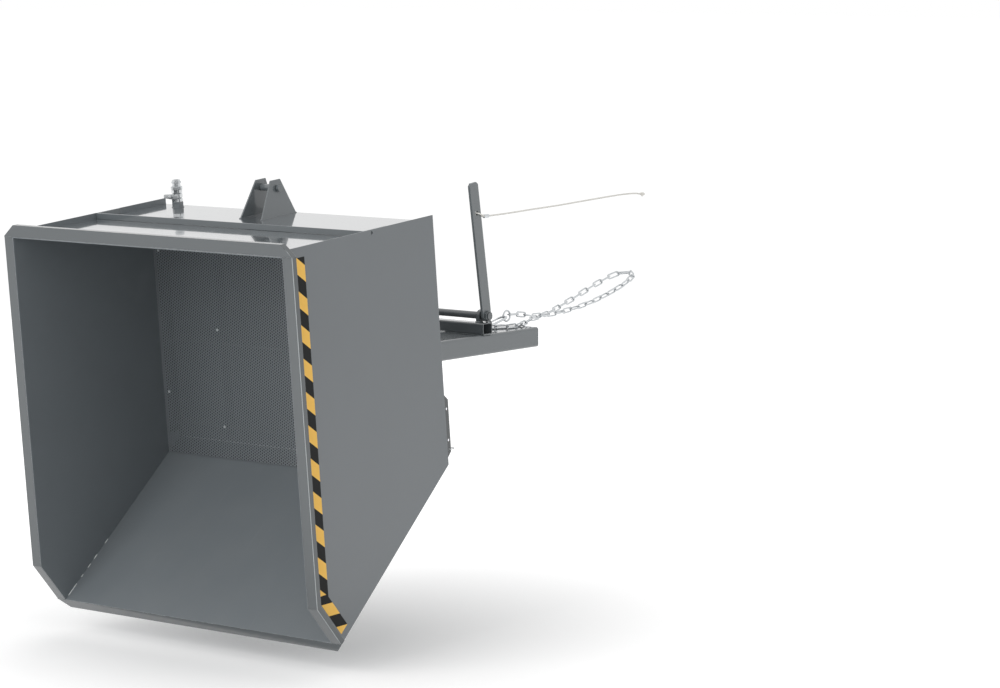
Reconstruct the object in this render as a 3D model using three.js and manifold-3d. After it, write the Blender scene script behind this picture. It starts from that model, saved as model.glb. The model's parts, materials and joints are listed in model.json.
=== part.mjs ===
// Self dumping hopper: a steel skip that tips about a low shaft in a frame with two fork pockets.
// Millimetres, +X forward (the way it pours), +Y to the left, +Z up.
// The origin lies midway between the pockets at their rear ends, on the level of the forks' top faces.
// The hopper is modelled upright about its pivot and stands here tipped, as it pours.

import * as THREE from 'three';
import { mergeVertices } from 'three/addons/utils/BufferGeometryUtils.js';
import Module from 'manifold-3d';

const wasm = await Module();
wasm.setup();

// Clearances and cutting
const seatGap = 0.3; // between pieces that touch
const runningGap = 0.3; // between a turning piece and what it turns in
const overrun = 6; // how far a cutting shape runs past what it cuts
const mergeTolerance = 1e-4;

// Facets of round pieces
const coarseSides = 12;
const roundSides = 16;
const fineSides = 24;

// Hopper body, measured along the mouth from the rear rim and down from the mouth
const rimWidth = 1300;
const lipReach = 1345; // rear rim to the lip's outer edge
const lipRun = 172; // along the mouth from the kink in the side rails to the lip's outer edge
const lipDrop = 124; // mouth plane to the lip's outer edge
const hopperDepth = 711; // mouth plane to the underside of the floor
const floorRun = 866; // rear rim to the foot of the front wall
const sheetGauge = 3;
const stripWidth = 20; // side panels' edges standing proud of the walls
const panelFrontRun = 858; // rear rim to the end of the side panel's lower edge

// Rim
const rimFace = 40;
const rimDepth = 20;
const rimGauge = 3;
const rearCutAlong = 38;
const rearCutAcross = 45;
const lipCutAlong = 39;
const lipCutAcross = 39;

// Holes in the side panels' strips
const stripHoleRadius = 5.5;
const stripHoleDepth = 425;
const stripHoleInset = 10;

// Cross bar on the back wall
const barGauge = 5;
const barDepth = 390; // mouth plane to the bar's upper face
const barTabLength = 113;

// Strainer
const strainerRise = 61; // strainer's underside above the floor's underside
const strainerBarGauge = 6;
const strainerRowInset = 26.7; // from the walls' ends to the outer supports
const strainerInnerShare = 0.559; // inner supports' place, of the outer ones' distance from the middle
const strainerBarInset = 30;
const strainerCrossHeight = 30;
const strainerCrossShares = [0, 0.58, 1]; // of the supports' length
const screwHeadRadius = 9;
const screwHeadHeight = 5;
const screwRadius = 4;
const screwLength = 22;
const outerScrewShares = [0.17, 0.75]; // of the strainer's length
const innerScrewShares = [0.475, 0.87];

// Latch lug on the back wall
const lugGauge = 6;
const lugReach = 120;
const lugBaseAbove = 107; // plates' edges above and below the bolt
const lugBaseBelow = 64;
const lugTipAbove = 25;
const lugTipBelow = 22;
const lugLeftBase = 4;
const lugLeftTip = -20;
const lugRightBase = -92;
const lugRightTip = -86;
const lugBoltRun = 92; // back wall to the bolt
const lugBoltRise = 49; // floor's underside to the bolt
const lugBoltRadius = 8;
const lugBushRadius = 12;
const boltHeadRadius = 13;
const boltHeadHeight = 10;

// Drain through the back wall
const drainInset = 104.7; // from the back wall's right end
const drainRise = 29; // above the floor's underside
const drainBore = 9;
const socketRadius = 20;
const socketLength = 20;
const valveLength = 41;
const valveRadius = 19;
const valveWaist = 14;
const valveFlangeShare = 0.25; // of the valve's length
const ballRadius = 12.5;
const couplingLength = 34;
const couplingRadius = 20;
const couplingCollarShare = 0.33; // of the coupling's length
const couplingBarbDrop = 3;
const stemRadius = 5;
const stemBossRadius = 9;
const stemBossLength = 9;
const handleSpan = 68;
const handleWidth = 13;
const handleGauge = 4;
const handleNutRadius = 7;
const handleNutHeight = 4;

// Skids under the floor
const skidGauge = 4;
const skidStart = 620;
const skidLength = 220;
const skidDrop = 44;
const skidInset = 7; // from the side panel's inner face
const skidHoleRadius = 5;
const skidHoleShares = [0.24, 0.72];
const skidHoleDrop = 36;
const clipWire = 3;
const clipReach = 10.5; // half the loop's width
const clipDrop = 22;
const clipHoleShare = 0.86;

// Pivot under the hopper
const pivotRun = 471.5; // rear rim to the pivot
const pivotDrop = 45; // floor's underside to the pivot
const shaftRadius = 15;
const bushWall = 3;
const hangerOuter = 26;
const hangerHeelShare = 0.33; // of the bearing tube's radius
const hangerPlateSpan = 100; // outer faces of the two gussets
const hangerGauge = 8;
const hangerPadGauge = 6;
const hangerPadWidth = 116;
const hangerRearLength = 180; // pad's reach behind the pivot
const hangerFrontLength = 26;

// Fork frame
const pocketLength = 900;
const pocketWidth = 180;
const pocketHeight = 70;
const pocketWall = 5;
const pocketCorner = 9;
const pocketCentre = 210;
const pivotHeight = 35; // above the forks' top faces
const pivotInset = 23.6; // pockets' front ends to the pivot
const tipAngle = 95;
const crossTubeLead = 4; // its rear face behind the latch shaft's axis
const crossTubeDepth = 50;
const crossTubeHeight = 40;
const crossTubeWall = 3;
const crossTubeCorner = 6;
const crossTubeLength = 600;
const restBeamInset = 340; // pockets' front ends to its rear face
const restBeamSize = 60;
const restBeamWall = 4;
const bufferRadius = 20;
const bufferOffset = 200;
const channelDepth = 50;
const channelWall = 6;
const stopRadius = 20;
const stopOffset = 78;
const stopHeight = -36;
const bracketGauge = 8;
const bracketDepth = 65;
const bracketHead = 28;
const bracketNose = 5; // brackets' reach in front of the pockets
const ringRadius = 22;
const ringWidth = 6;
const shaftEndOverhang = 4;

// Latch
const latchInset = 638; // pockets' front ends to the latch shaft
const latchHeight = 67;
const latchShaftRadius = 13;
const hubRadius = 21;
const bearingWidth = 14;
const bearingHalfDepth = 22;
const bearingLeft = 255; // middles of the bearing blocks
const bearingRight = -105;
const leverGauge = 10;
const leverWidth = 45;
const leverLength = 475;
const leverLean = 8.5;
const leverSide = 272; // inner face
const leverChamfer = 9;
const leverHoleRise = 367;
const leverHoleRadius = 8;
const hookGauge = 12;
const hookSide = -54; // right face
const hookThroatGap = 1.8;
const hookNose = 17;
const hookThickness = 22;
const hookHubTurnShares = [0.8, 1.5]; // of a half turn
const hookNeckShares = [1.6, 2]; // of the hub's radius
const hookHeelShare = 1.1; // of the throat's radius
const hookThroatTurnShares = [1.1, 0.42]; // of a half turn
const hookTipRiseShare = 0.55; // of the throat's radius
const hookTipTaperShares = [0.25, 0.33]; // of the hook's thickness
const collarWidth = 9;
const collarRadius = 19;
const leverNutRadius = 19;
const leverNutHeight = 9;

// Release rope: a route of points chosen by hand from the clamp to the knot, X from the latch shaft
const ropeRadius = 3;
const ropeSection = 8;
const ropeStepShare = 4; // step in rope diameters
const loopRadius = 9.5;
const loopWire = 2.5;
const clampLength = 26;
const clampRadius = 7;
const knotRadius = 9;
const knotLength = 22;
// The knot's outline, of its radius and length
const knotShares = [[0, 0], [0.6, 0.02], [1, 0.3], [1, 0.65], [0.6, 0.98], [0, 1]];
const ropeRoute = [
  [-15, 277, 416], [-62, 277, 416.6], [-122, 277, 417.8], [-191, 277, 420], [-262, 277, 422.4],
  [-342, 277, 424.6], [-419, 277, 427], [-492, 277, 430.2], [-572, 277, 433.6], [-652, 277, 437],
  [-722, 277, 439.8], [-792, 277, 441.6], [-862, 277, 440.4], [-894, 277, 436.6]
];

// Chain and what holds it
const linkWire = 3; // radius
const linkInnerLength = 43;
const linkInnerWidth = 10;
const linkSegments = 8;
const linkSection = 6;
const linkRoll = 45; // of links that lie on a flat face
const linkQuarter = 90;
const linkBiteDepth = 1.2; // how far bearing wires press into each other
const samplesPerPoint = 60;
const eyeWire = 4;
const eyeRadius = 13;
const eyeDrop = 10; // below the cross tube's top
const carabinerWire = 4;
const carabinerRadius = 14;
const carabinerStraight = 60;
const carabinerOpening = 44;
const gateWire = 3;
const chainSide = 270;
const ringWire = 3.5;
const chainRingRadius = 19;
// Route of the chain, X from the latch shaft: back from its ring, round a post behind the frame and
// home to the pocket's top
const chainAim = [-165, 270, 66]; // where the ring meets the chain, which sets the hooks' lean
const chainNearRoute = [
  [-202, 270, 55], [-262, 270, 43], [-322, 270, 40], [-402, 270, 41], [-497, 270, 48],
  [-598, 270, 61], [-699, 270, 82], [-800, 270, 111]
];
const chainFarRoute = [
  [-862, 262, 132], [-896, 238, 143], [-899, 204, 144], [-868, 178, 137], [-818, 170, 122],
  [-762, 170, 108], [-702, 170, 90], [-631, 170, 68], [-552, 174, 48], [-472, 188, 33], [-392, 206, 26],
  [-324, 216, 22]
];
const chainPileRoute = [
  [-282, 226, 15], [-242, 240, 13.6], [-194, 250, 13.4], [-144, 240, 13.4], [-108, 206, 13.4],
  [-112, 166, 13.4], [-150, 142, 13.4], [-196, 144, 13.4]
];

// Colours and finishes
function steel(color, roughness = 0.5, metalness = 0.3) {
  return new THREE.MeshStandardMaterial({ color, roughness, metalness });
}
const finish = {
  hopperPaint: steel(0x6f7579, 0.42, 0.2),
  rimPaint: steel(0x656b6d, 0.45, 0.2),
  innerPaint: steel(0x50565a, 0.5, 0.2),
  framePaint: steel(0x6a7072, 0.25, 0.25),
  zinc: steel(0xb9bdbf, 0.32, 0.85),
  chrome: steel(0xd6d8da, 0.15, 1),
  bronze: steel(0x9c7a45, 0.4, 0.9),
  rubber: steel(0x1b1c1d, 0.85, 0),
  rope: steel(0xd9d5c6, 0.9, 0),
  handle: steel(0xc9ccce, 0.3, 0.7)
};

// Booleans on closed geometries
function toSolid(geometry) {
  const bare = geometry.clone();
  bare.deleteAttribute('normal');
  bare.deleteAttribute('uv');
  const merged = mergeVertices(bare, mergeTolerance);
  return new wasm.Manifold(new wasm.Mesh({
    numProp: 3,
    vertProperties: Float32Array.from(merged.attributes.position.array),
    triVerts: Uint32Array.from(merged.index.array)
  }));
}

function toGeometry(solid) {
  const mesh = solid.getMesh();
  const geometry = new THREE.BufferGeometry();
  geometry.setAttribute('position', new THREE.BufferAttribute(mesh.vertProperties, 3));
  geometry.setIndex(new THREE.BufferAttribute(mesh.triVerts, 1));
  return geometry;
}

function cut(body, ...tools) {
  return toGeometry(tools.reduce((rest, tool) => rest.subtract(toSolid(tool)), toSolid(body)));
}

function join(...pieces) {
  return toGeometry(pieces.slice(1).reduce((sum, piece) => sum.add(toSolid(piece)), toSolid(pieces[0])));
}

// Plates, bars and rods
const alongX = new THREE.Matrix4().makeBasis(
  new THREE.Vector3(0, 1, 0), new THREE.Vector3(0, 0, 1), new THREE.Vector3(1, 0, 0)
);

function outline(points) {
  return new THREE.Shape(points.map(([x, y]) => new THREE.Vector2(x, y)));
}

function extrude(shape, depth) {
  return new THREE.ExtrudeGeometry(shape, { depth, bevelEnabled: false, curveSegments: 3 });
}

// A plate whose outline lies in X and Z, from yLow towards the left
function plateXZ(points, yLow, thickness) {
  const shape = Array.isArray(points) ? outline(points) : points;
  return extrude(shape, thickness).rotateX(Math.PI / 2).translate(0, yLow + thickness, 0);
}

// A plate whose outline lies in X and Y, from zLow up
function plateXY(points, zLow, thickness) {
  return extrude(outline(points), thickness).translate(0, 0, zLow);
}

// A bar whose section lies in Y and Z, from xLow forward
function barX(section, xLow, length) {
  const shape = Array.isArray(section) ? outline(section) : section;
  return extrude(shape, length).applyMatrix4(alongX).translate(xLow, 0, 0);
}

function box(x, y, z) {
  return new THREE.BoxGeometry(x[1] - x[0], y[1] - y[0], z[1] - z[0])
    .translate((x[0] + x[1]) / 2, (y[0] + y[1]) / 2, (z[0] + z[1]) / 2);
}

function rodY(x, z, radius, yLow, yHigh, sides = roundSides) {
  return new THREE.CylinderGeometry(radius, radius, yHigh - yLow, sides).translate(x, (yLow + yHigh) / 2, z);
}

function rodX(y, z, radius, xLow, xHigh, sides = roundSides) {
  return new THREE.CylinderGeometry(radius, radius, xHigh - xLow, sides)
    .rotateZ(Math.PI / 2).translate((xLow + xHigh) / 2, y, z);
}

function rodZ(x, y, radius, zLow, zHigh, sides = roundSides) {
  return new THREE.CylinderGeometry(radius, radius, zHigh - zLow, sides)
    .rotateX(Math.PI / 2).translate(x, y, (zLow + zHigh) / 2);
}

// Radius of a faceted bore whose flats clear a pin of the given radius
function boreFor(radius, gap = runningGap, sides = roundSides) {
  return (radius + gap) / Math.cos(Math.PI / sides);
}

function tubeY(x, z, outer, inner, yLow, yHigh, sides = roundSides) {
  const bore = rodY(x, z, inner, yLow - overrun, yHigh + overrun, sides);
  return cut(rodY(x, z, outer, yLow, yHigh, sides), bore);
}

function roundedRect(width, height, radius) {
  const w = width / 2;
  const h = height / 2;
  const shape = new THREE.Shape();
  shape.moveTo(-w + radius, -h).lineTo(w - radius, -h);
  shape.absarc(w - radius, -h + radius, radius, -Math.PI / 2, 0);
  shape.lineTo(w, h - radius).absarc(w - radius, h - radius, radius, 0, Math.PI / 2);
  shape.lineTo(-w + radius, h).absarc(-w + radius, h - radius, radius, Math.PI / 2, Math.PI);
  shape.lineTo(-w, -h + radius).absarc(-w + radius, -h + radius, radius, Math.PI, Math.PI * 1.5);
  return shape;
}

// The wall section of a rectangular tube
function tubeSection(width, height, wall, corner) {
  const section = roundedRect(width, height, corner);
  section.holes.push(new THREE.Path(
    roundedRect(width - 2 * wall, height - 2 * wall, corner - wall).getPoints(3)
  ));
  return section;
}

// A line beside an open path of [x, y] points, the given distance to its right
function offsetPath(points, distance) {
  const directions = points.slice(1).map(([x, y], i) => {
    const step = new THREE.Vector2(x - points[i][0], y - points[i][1]);
    return step.normalize();
  });
  return points.map(([x, y], i) => {
    const before = directions[Math.max(i - 1, 0)];
    const after = directions[Math.min(i, directions.length - 1)];
    const reach = distance / (1 + before.dot(after));
    return [x + (before.y + after.y) * reach, y - (before.x + after.x) * reach];
  });
}

// A round bar through a list of centres, open with flat ends or closed on itself
function sweep(centres, radius, sides, closed) {
  const count = centres.length;
  const positions = [];
  const index = [];
  const tangents = centres.map((centre, i) => {
    const next = closed ? centres[(i + 1) % count] : centres[Math.min(i + 1, count - 1)];
    const last = closed ? centres[(i + count - 1) % count] : centres[Math.max(i - 1, 0)];
    return next.clone().sub(last).normalize();
  });
  const normal = new THREE.Vector3(0, 0, 1);
  if (Math.abs(tangents[0].z) > Math.SQRT1_2) normal.set(0, 1, 0);
  centres.forEach((centre, i) => {
    normal.addScaledVector(tangents[i], -normal.dot(tangents[i])).normalize();
    const side = tangents[i].clone().cross(normal);
    for (let j = 0; j < sides; j += 1) {
      const angle = (j * 2 * Math.PI) / sides;
      const point = centre.clone().addScaledVector(normal, radius * Math.cos(angle));
      point.addScaledVector(side, radius * Math.sin(angle));
      positions.push(point.x, point.y, point.z);
    }
  });
  const spans = closed ? count : count - 1;
  for (let i = 0; i < spans; i += 1) {
    for (let j = 0; j < sides; j += 1) {
      const a = i * sides + j;
      const b = i * sides + ((j + 1) % sides);
      const c = ((i + 1) % count) * sides + j;
      const d = ((i + 1) % count) * sides + ((j + 1) % sides);
      index.push(a, d, c, a, b, d);
    }
  }
  if (!closed) {
    const last = (count - 1) * sides;
    for (let j = 1; j < sides - 1; j += 1) {
      index.push(0, j + 1, j, last, last + j, last + j + 1);
    }
  }
  const geometry = new THREE.BufferGeometry();
  geometry.setAttribute('position', new THREE.Float32BufferAttribute(positions, 3));
  geometry.setIndex(index);
  return geometry;
}

function hexNut(radius, bore, yLow, height) {
  const body = rodY(0, 0, radius, yLow, yLow + height, 6);
  return bore ? cut(body, rodY(0, 0, bore, yLow - overrun, yLow + height + overrun)) : body;
}

// Places along the pockets
const pivotForward = pocketLength - pivotInset;
const latchForward = pocketLength - latchInset;
const crossTubeStart = latchForward - crossTubeLead;
const restBeamStart = pocketLength - restBeamInset;
const fromLatch = ([x, y, z]) => new THREE.Vector3(latchForward + x, y, z);

// The groups: the frame stands in the part's own frame, the hopper turns about the pivot
const assembly = new THREE.Group();
const hopper = new THREE.Group();
hopper.position.set(pivotForward, 0, pivotHeight);
hopper.rotation.y = THREE.MathUtils.degToRad(tipAngle);
assembly.add(hopper);

function place(group, name, geometry, material) {
  const mesh = new THREE.Mesh(geometry, material);
  mesh.name = name;
  group.add(mesh);
  return mesh;
}

// Places on the hopper: run along the mouth from the rear rim, depth below the mouth
const mouthRun = lipReach - lipRun;
const lugBoltDepth = hopperDepth - lugBoltRise;
const pivotDepth = hopperDepth + pivotDrop;
const spot = (run, depth) => [run - pivotRun, pivotDepth - depth];

// Places on the slanted part of the rim: back from the lip and under its face
const slope = new THREE.Vector2(lipRun, lipDrop).normalize();
function fromLip(back, under) {
  return [
    lipReach - back * slope.x - under * slope.y,
    lipDrop - back * slope.y + under * slope.x
  ];
}

const railOuter = rimWidth / 2;
const panelOuter = railOuter - rimFace;
const panelInner = panelOuter - sheetGauge;
const wallHalfWidth = panelInner - seatGap;
const wallRun = rimFace + seatGap; // back wall's outer face
const wallInnerRun = wallRun + sheetGauge;
const panelFoot = hopperDepth + stripWidth;
const stripRun = rimFace - stripWidth;
const lipSlant = Math.atan2(lipDrop, lipRun);
const flushUnderRim = rimGauge + seatGap;

// Rim
function rimEnd(cutAlong, cutAcross) {
  const corner = railOuter - cutAcross;
  const edge = [
    [rimFace, -railOuter], [cutAlong, -railOuter], [0, -corner],
    [0, corner], [cutAlong, railOuter], [rimFace, railOuter]
  ];
  const inner = offsetPath(edge, rimGauge);
  inner[0][0] += overrun;
  inner[inner.length - 1][0] += overrun;
  return cut(
    plateXY(edge, -rimDepth, rimDepth),
    plateXY(inner, -rimDepth - overrun, rimDepth - rimGauge + overrun)
  );
}

function makeRim() {
  const [rearX, rearZ] = spot(0, 0);
  const [lipX, lipZ] = spot(lipReach, lipDrop);
  const rear = rimEnd(rearCutAlong, rearCutAcross).translate(rearX, 0, rearZ);
  place(hopper, 'rim_rear', rear, finish.rimPaint);
  const lip = rimEnd(lipCutAlong, lipCutAcross)
    .rotateZ(Math.PI).rotateY(lipSlant).translate(lipX, 0, lipZ);
  place(hopper, 'rim_lip', lip, finish.rimPaint);

  const top = [[wallRun, 0], [mouthRun, 0], fromLip(rimFace + seatGap, 0)]
    .map(([run, depth]) => spot(run, depth));
  const faceBand = [...top, ...offsetPath(top, rimGauge).reverse()];
  const sideBand = [...top, ...offsetPath(top, rimDepth).reverse()];
  const faceLow = panelOuter + seatGap;
  const faceWidth = railOuter - faceLow;
  const leftRail = join(
    plateXZ(faceBand, faceLow, faceWidth),
    plateXZ(sideBand, railOuter - rimGauge, rimGauge)
  );
  const rightRail = join(
    plateXZ(faceBand, -railOuter, faceWidth),
    plateXZ(sideBand, -railOuter, rimGauge)
  );
  place(hopper, 'rim_left', leftRail, finish.rimPaint);
  place(hopper, 'rim_right', rightRail, finish.rimPaint);
}

// Side panels
function panelOutline() {
  const lean = new THREE.Vector2(lipReach - panelFrontRun, lipDrop - panelFoot).normalize();
  const under = rimDepth + seatGap;
  const edgeRun = lipReach - under * lean.x;
  const edgeDepth = lipDrop - under * lean.y;
  return [
    [wallRun, 0], [wallRun, flushUnderRim], [stripRun, flushUnderRim], [stripRun, panelFoot],
    [panelFrontRun, panelFoot], [edgeRun, edgeDepth], fromLip(rimGauge + 2 * seatGap, under),
    fromLip(rimGauge + 2 * seatGap, flushUnderRim), fromLip(rimFace + seatGap, flushUnderRim),
    fromLip(rimFace + seatGap, 0), [mouthRun, 0]
  ].map(([run, depth]) => spot(run, depth));
}

function makePanels() {
  const [holeX, holeZ] = spot(stripRun + stripHoleInset, stripHoleDepth);
  for (const [name, yLow] of [['side_panel_left', panelInner], ['side_panel_right', -panelOuter]]) {
    const yHigh = yLow + sheetGauge;
    const hole = rodY(holeX, holeZ, stripHoleRadius, yLow - overrun, yHigh + overrun, coarseSides);
    place(hopper, name, cut(plateXZ(panelOutline(), yLow, sheetGauge), hole), finish.hopperPaint);
  }
}

// Walls between the panels
const wallFoot = [floorRun, hopperDepth];
const wallTop = fromLip(rimFace + seatGap, 0);
const wallLean = new THREE.Vector2(wallTop[0] - wallFoot[0], wallTop[1] - wallFoot[1]).normalize();

// Run of the front wall's inner face at a depth
function frontWallRun(depth) {
  const footRun = wallFoot[0] + sheetGauge * wallLean.y;
  const footDepth = wallFoot[1] - sheetGauge * wallLean.x;
  return footRun + ((depth - footDepth) * wallLean.x) / wallLean.y;
}

function acrossWalls(points, inset = 0) {
  const half = wallHalfWidth - inset;
  return plateXZ(points.map(([run, depth]) => spot(run, depth)), -half, 2 * half);
}

const drainSide = drainInset - wallHalfWidth;
const drainDepth = hopperDepth - drainRise;

function drainTool(radius, sides) {
  const [wallX, drainZ] = spot(wallRun, drainDepth);
  return rodX(drainSide, drainZ, radius, wallX - overrun, wallX + sheetGauge + overrun, sides);
}

function makeWalls() {
  const back = acrossWalls([
    [wallRun, 0], [wallRun, panelFoot], [wallInnerRun, panelFoot], [wallInnerRun, 0]
  ]);
  place(hopper, 'back_wall', cut(back, drainTool(drainBore, coarseSides)), finish.innerPaint);

  const floorTop = hopperDepth - sheetGauge;
  const floorStart = wallInnerRun + seatGap;
  const floorStop = wallFoot[0] + sheetGauge * wallLean.y - 2 * seatGap;
  const floor = [
    [floorStart, floorTop], [floorStart, hopperDepth], [floorStop, hopperDepth], [floorStop, floorTop]
  ];
  place(hopper, 'floor_sheet', acrossWalls(floor), finish.innerPaint);

  const front = [
    wallFoot, wallTop,
    [wallTop[0] + sheetGauge * wallLean.y, wallTop[1] - sheetGauge * wallLean.x],
    [wallFoot[0] + sheetGauge * wallLean.y, wallFoot[1] - sheetGauge * wallLean.x]
  ];
  place(hopper, 'front_wall', acrossWalls(front), finish.innerPaint);
}

// Strainer with its supports and screws
function makeStrainer() {
  const under = hopperDepth - strainerRise;
  const top = under - sheetGauge;
  const start = wallInnerRun + seatGap;
  const stop = frontWallRun(under) - 2 * seatGap;
  const length = stop - start;
  const inset = seatGap;
  const barTop = under + seatGap;
  const barFoot = hopperDepth - sheetGauge - seatGap;
  const barStart = start + strainerBarInset;
  const barStop = frontWallRun(barFoot) - strainerBarInset;
  const outerRow = wallHalfWidth - strainerRowInset;
  const innerRow = outerRow * strainerInnerShare;
  const screws = [];
  for (const side of [-1, 1]) {
    for (const share of outerScrewShares) screws.push([start + share * length, side * outerRow]);
    for (const share of innerScrewShares) screws.push([start + share * length, side * innerRow]);
  }
  const shank = ([run, y], radius, from, to) => {
    const [x, zHigh] = spot(run, from);
    const [, zLow] = spot(run, to);
    return rodZ(x, y, radius, zLow, zHigh, coarseSides);
  };
  const holeRadius = boreFor(screwRadius, seatGap, coarseSides);
  const sheet = acrossWalls([[start, top], [start, under], [stop, under], [stop, top]], inset);
  const screwParts = screws.flatMap((screw) => [
    shank(screw, screwHeadRadius, top - screwHeadHeight, under),
    shank(screw, screwRadius, top, under + screwLength)
  ]);
  place(hopper, 'strainer_sheet', join(sheet, ...screwParts), finish.innerPaint);

  // Angle bars lie along the floor, and flat bars tie them together
  const [barX0, barZ1] = spot(barStart, barTop);
  const [barX1, barZ0] = spot(barStop, barFoot);
  const bars = [-outerRow, -innerRow, innerRow, outerRow].map((y) => {
    const out = Math.sign(y);
    const angle = [
      [-screwHeadRadius, barZ1], [screwHeadRadius + strainerBarGauge, barZ1],
      [screwHeadRadius + strainerBarGauge, barZ0], [screwHeadRadius, barZ0],
      [screwHeadRadius, barZ1 - strainerBarGauge], [-screwHeadRadius, barZ1 - strainerBarGauge]
    ].map(([across, z]) => [y + out * across, z]);
    return barX(out > 0 ? angle.reverse() : angle, barX0, barX1 - barX0);
  });
  const tieHalf = outerRow + screwHeadRadius + strainerBarGauge / 2;
  const crossBars = strainerCrossShares.map((share) => {
    const tieX = barX0 + strainerBarInset + share * (barX1 - barX0 - 2 * strainerBarInset - strainerBarGauge);
    const tieTop = barZ1 - strainerBarGauge / 2;
    return box([tieX, tieX + strainerBarGauge], [-tieHalf, tieHalf], [tieTop - strainerCrossHeight, tieTop]);
  });
  const holeFoot = under + screwLength + overrun;
  const barHoles = screws.map((screw) => shank(screw, holeRadius, barTop - overrun, holeFoot));
  place(hopper, 'strainer_frame', cut(join(...bars, ...crossBars), ...barHoles), finish.framePaint);
}

// Cross bar: a flat bar on edge with its ends bent along the strips
function makeCrossBar() {
  const half = wallHalfWidth;
  const [, high] = spot(0, barDepth);
  const [, low] = spot(0, barDepth + barTabLength);
  const section = [
    [-half, high], [half, high], [half, low], [half - barGauge, low],
    [half - barGauge, high - barGauge], [-half + barGauge, high - barGauge],
    [-half + barGauge, low], [-half, low]
  ];
  const [outerX] = spot(stripRun, 0);
  const [wallX] = spot(wallRun - seatGap, 0);
  place(hopper, 'cross_bar', barX(section, outerX, wallX - outerX), finish.framePaint);
}

// Latch lug: two splayed plates with a bolt and a bush that the hook holds
function splayed(geometry, foot, slant) {
  const positions = geometry.attributes.position;
  for (let i = 0; i < positions.count; i += 1) {
    positions.setY(i, positions.getY(i) + (foot - positions.getX(i)) * slant);
  }
  return geometry;
}

function makeLug() {
  const base = wallRun - seatGap;
  const tip = base - lugReach;
  const points = [
    [base, lugBoltDepth - lugBaseAbove], [base, lugBoltDepth + lugBaseBelow],
    [tip, lugBoltDepth + lugTipBelow], [tip, lugBoltDepth - lugTipAbove]
  ].map(([run, depth]) => spot(run, depth));
  const [footX] = spot(base, 0);
  const [boltX, boltZ] = spot(base - lugBoltRun, lugBoltDepth);
  const leftSlant = (lugLeftTip - lugLeftBase) / lugReach;
  const rightSlant = (lugRightTip - lugRightBase) / lugReach;
  const holeRadius = boreFor(lugBoltRadius, seatGap, coarseSides);
  for (const [name, low, slant] of [
    ['lug_plate_left', lugLeftBase, leftSlant], ['lug_plate_right', lugRightBase, rightSlant]
  ]) {
    const plate = splayed(plateXZ(points, low, lugGauge), footX, slant);
    const far = lugReach + overrun;
    const hole = rodY(boltX, boltZ, holeRadius, low - far, low + far, coarseSides);
    place(hopper, name, cut(plate, hole), finish.framePaint);
  }
  // Faces of the plates at the bolt, where the head and the nut must clear their lean
  const leftFace = (reach) => lugLeftBase + (lugBoltRun + reach) * leftSlant;
  const rightFace = (reach) => lugRightBase + (lugBoltRun + reach) * rightSlant;
  const headLow = leftFace(-boltHeadRadius) + lugGauge + seatGap;
  const nutHigh = rightFace(-boltHeadRadius) - seatGap;
  const bolt = join(
    hexNut(boltHeadRadius, 0, headLow, boltHeadHeight),
    rodY(0, 0, lugBoltRadius, nutHigh - 1.5 * boltHeadHeight, headLow + boltHeadHeight / 2, coarseSides),
    hexNut(boltHeadRadius, 0, nutHigh - boltHeadHeight, boltHeadHeight)
  ).translate(boltX, 0, boltZ);
  place(hopper, 'lug_bolt', bolt, finish.zinc);
  const bushLow = rightFace(lugBushRadius) + lugGauge + seatGap;
  const bushHigh = leftFace(lugBushRadius) - seatGap;
  const bushBore = boreFor(lugBoltRadius, runningGap, roundSides);
  place(hopper, 'lug_bush', tubeY(boltX, boltZ, lugBushRadius, bushBore, bushLow, bushHigh), finish.zinc);
}

// A ball about the valve's stem
function ball(radius, x) {
  const sphere = new THREE.SphereGeometry(radius, coarseSides, coarseSides / 2);
  return sphere.rotateX(Math.PI / 2).translate(x, 0, 0);
}

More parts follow.
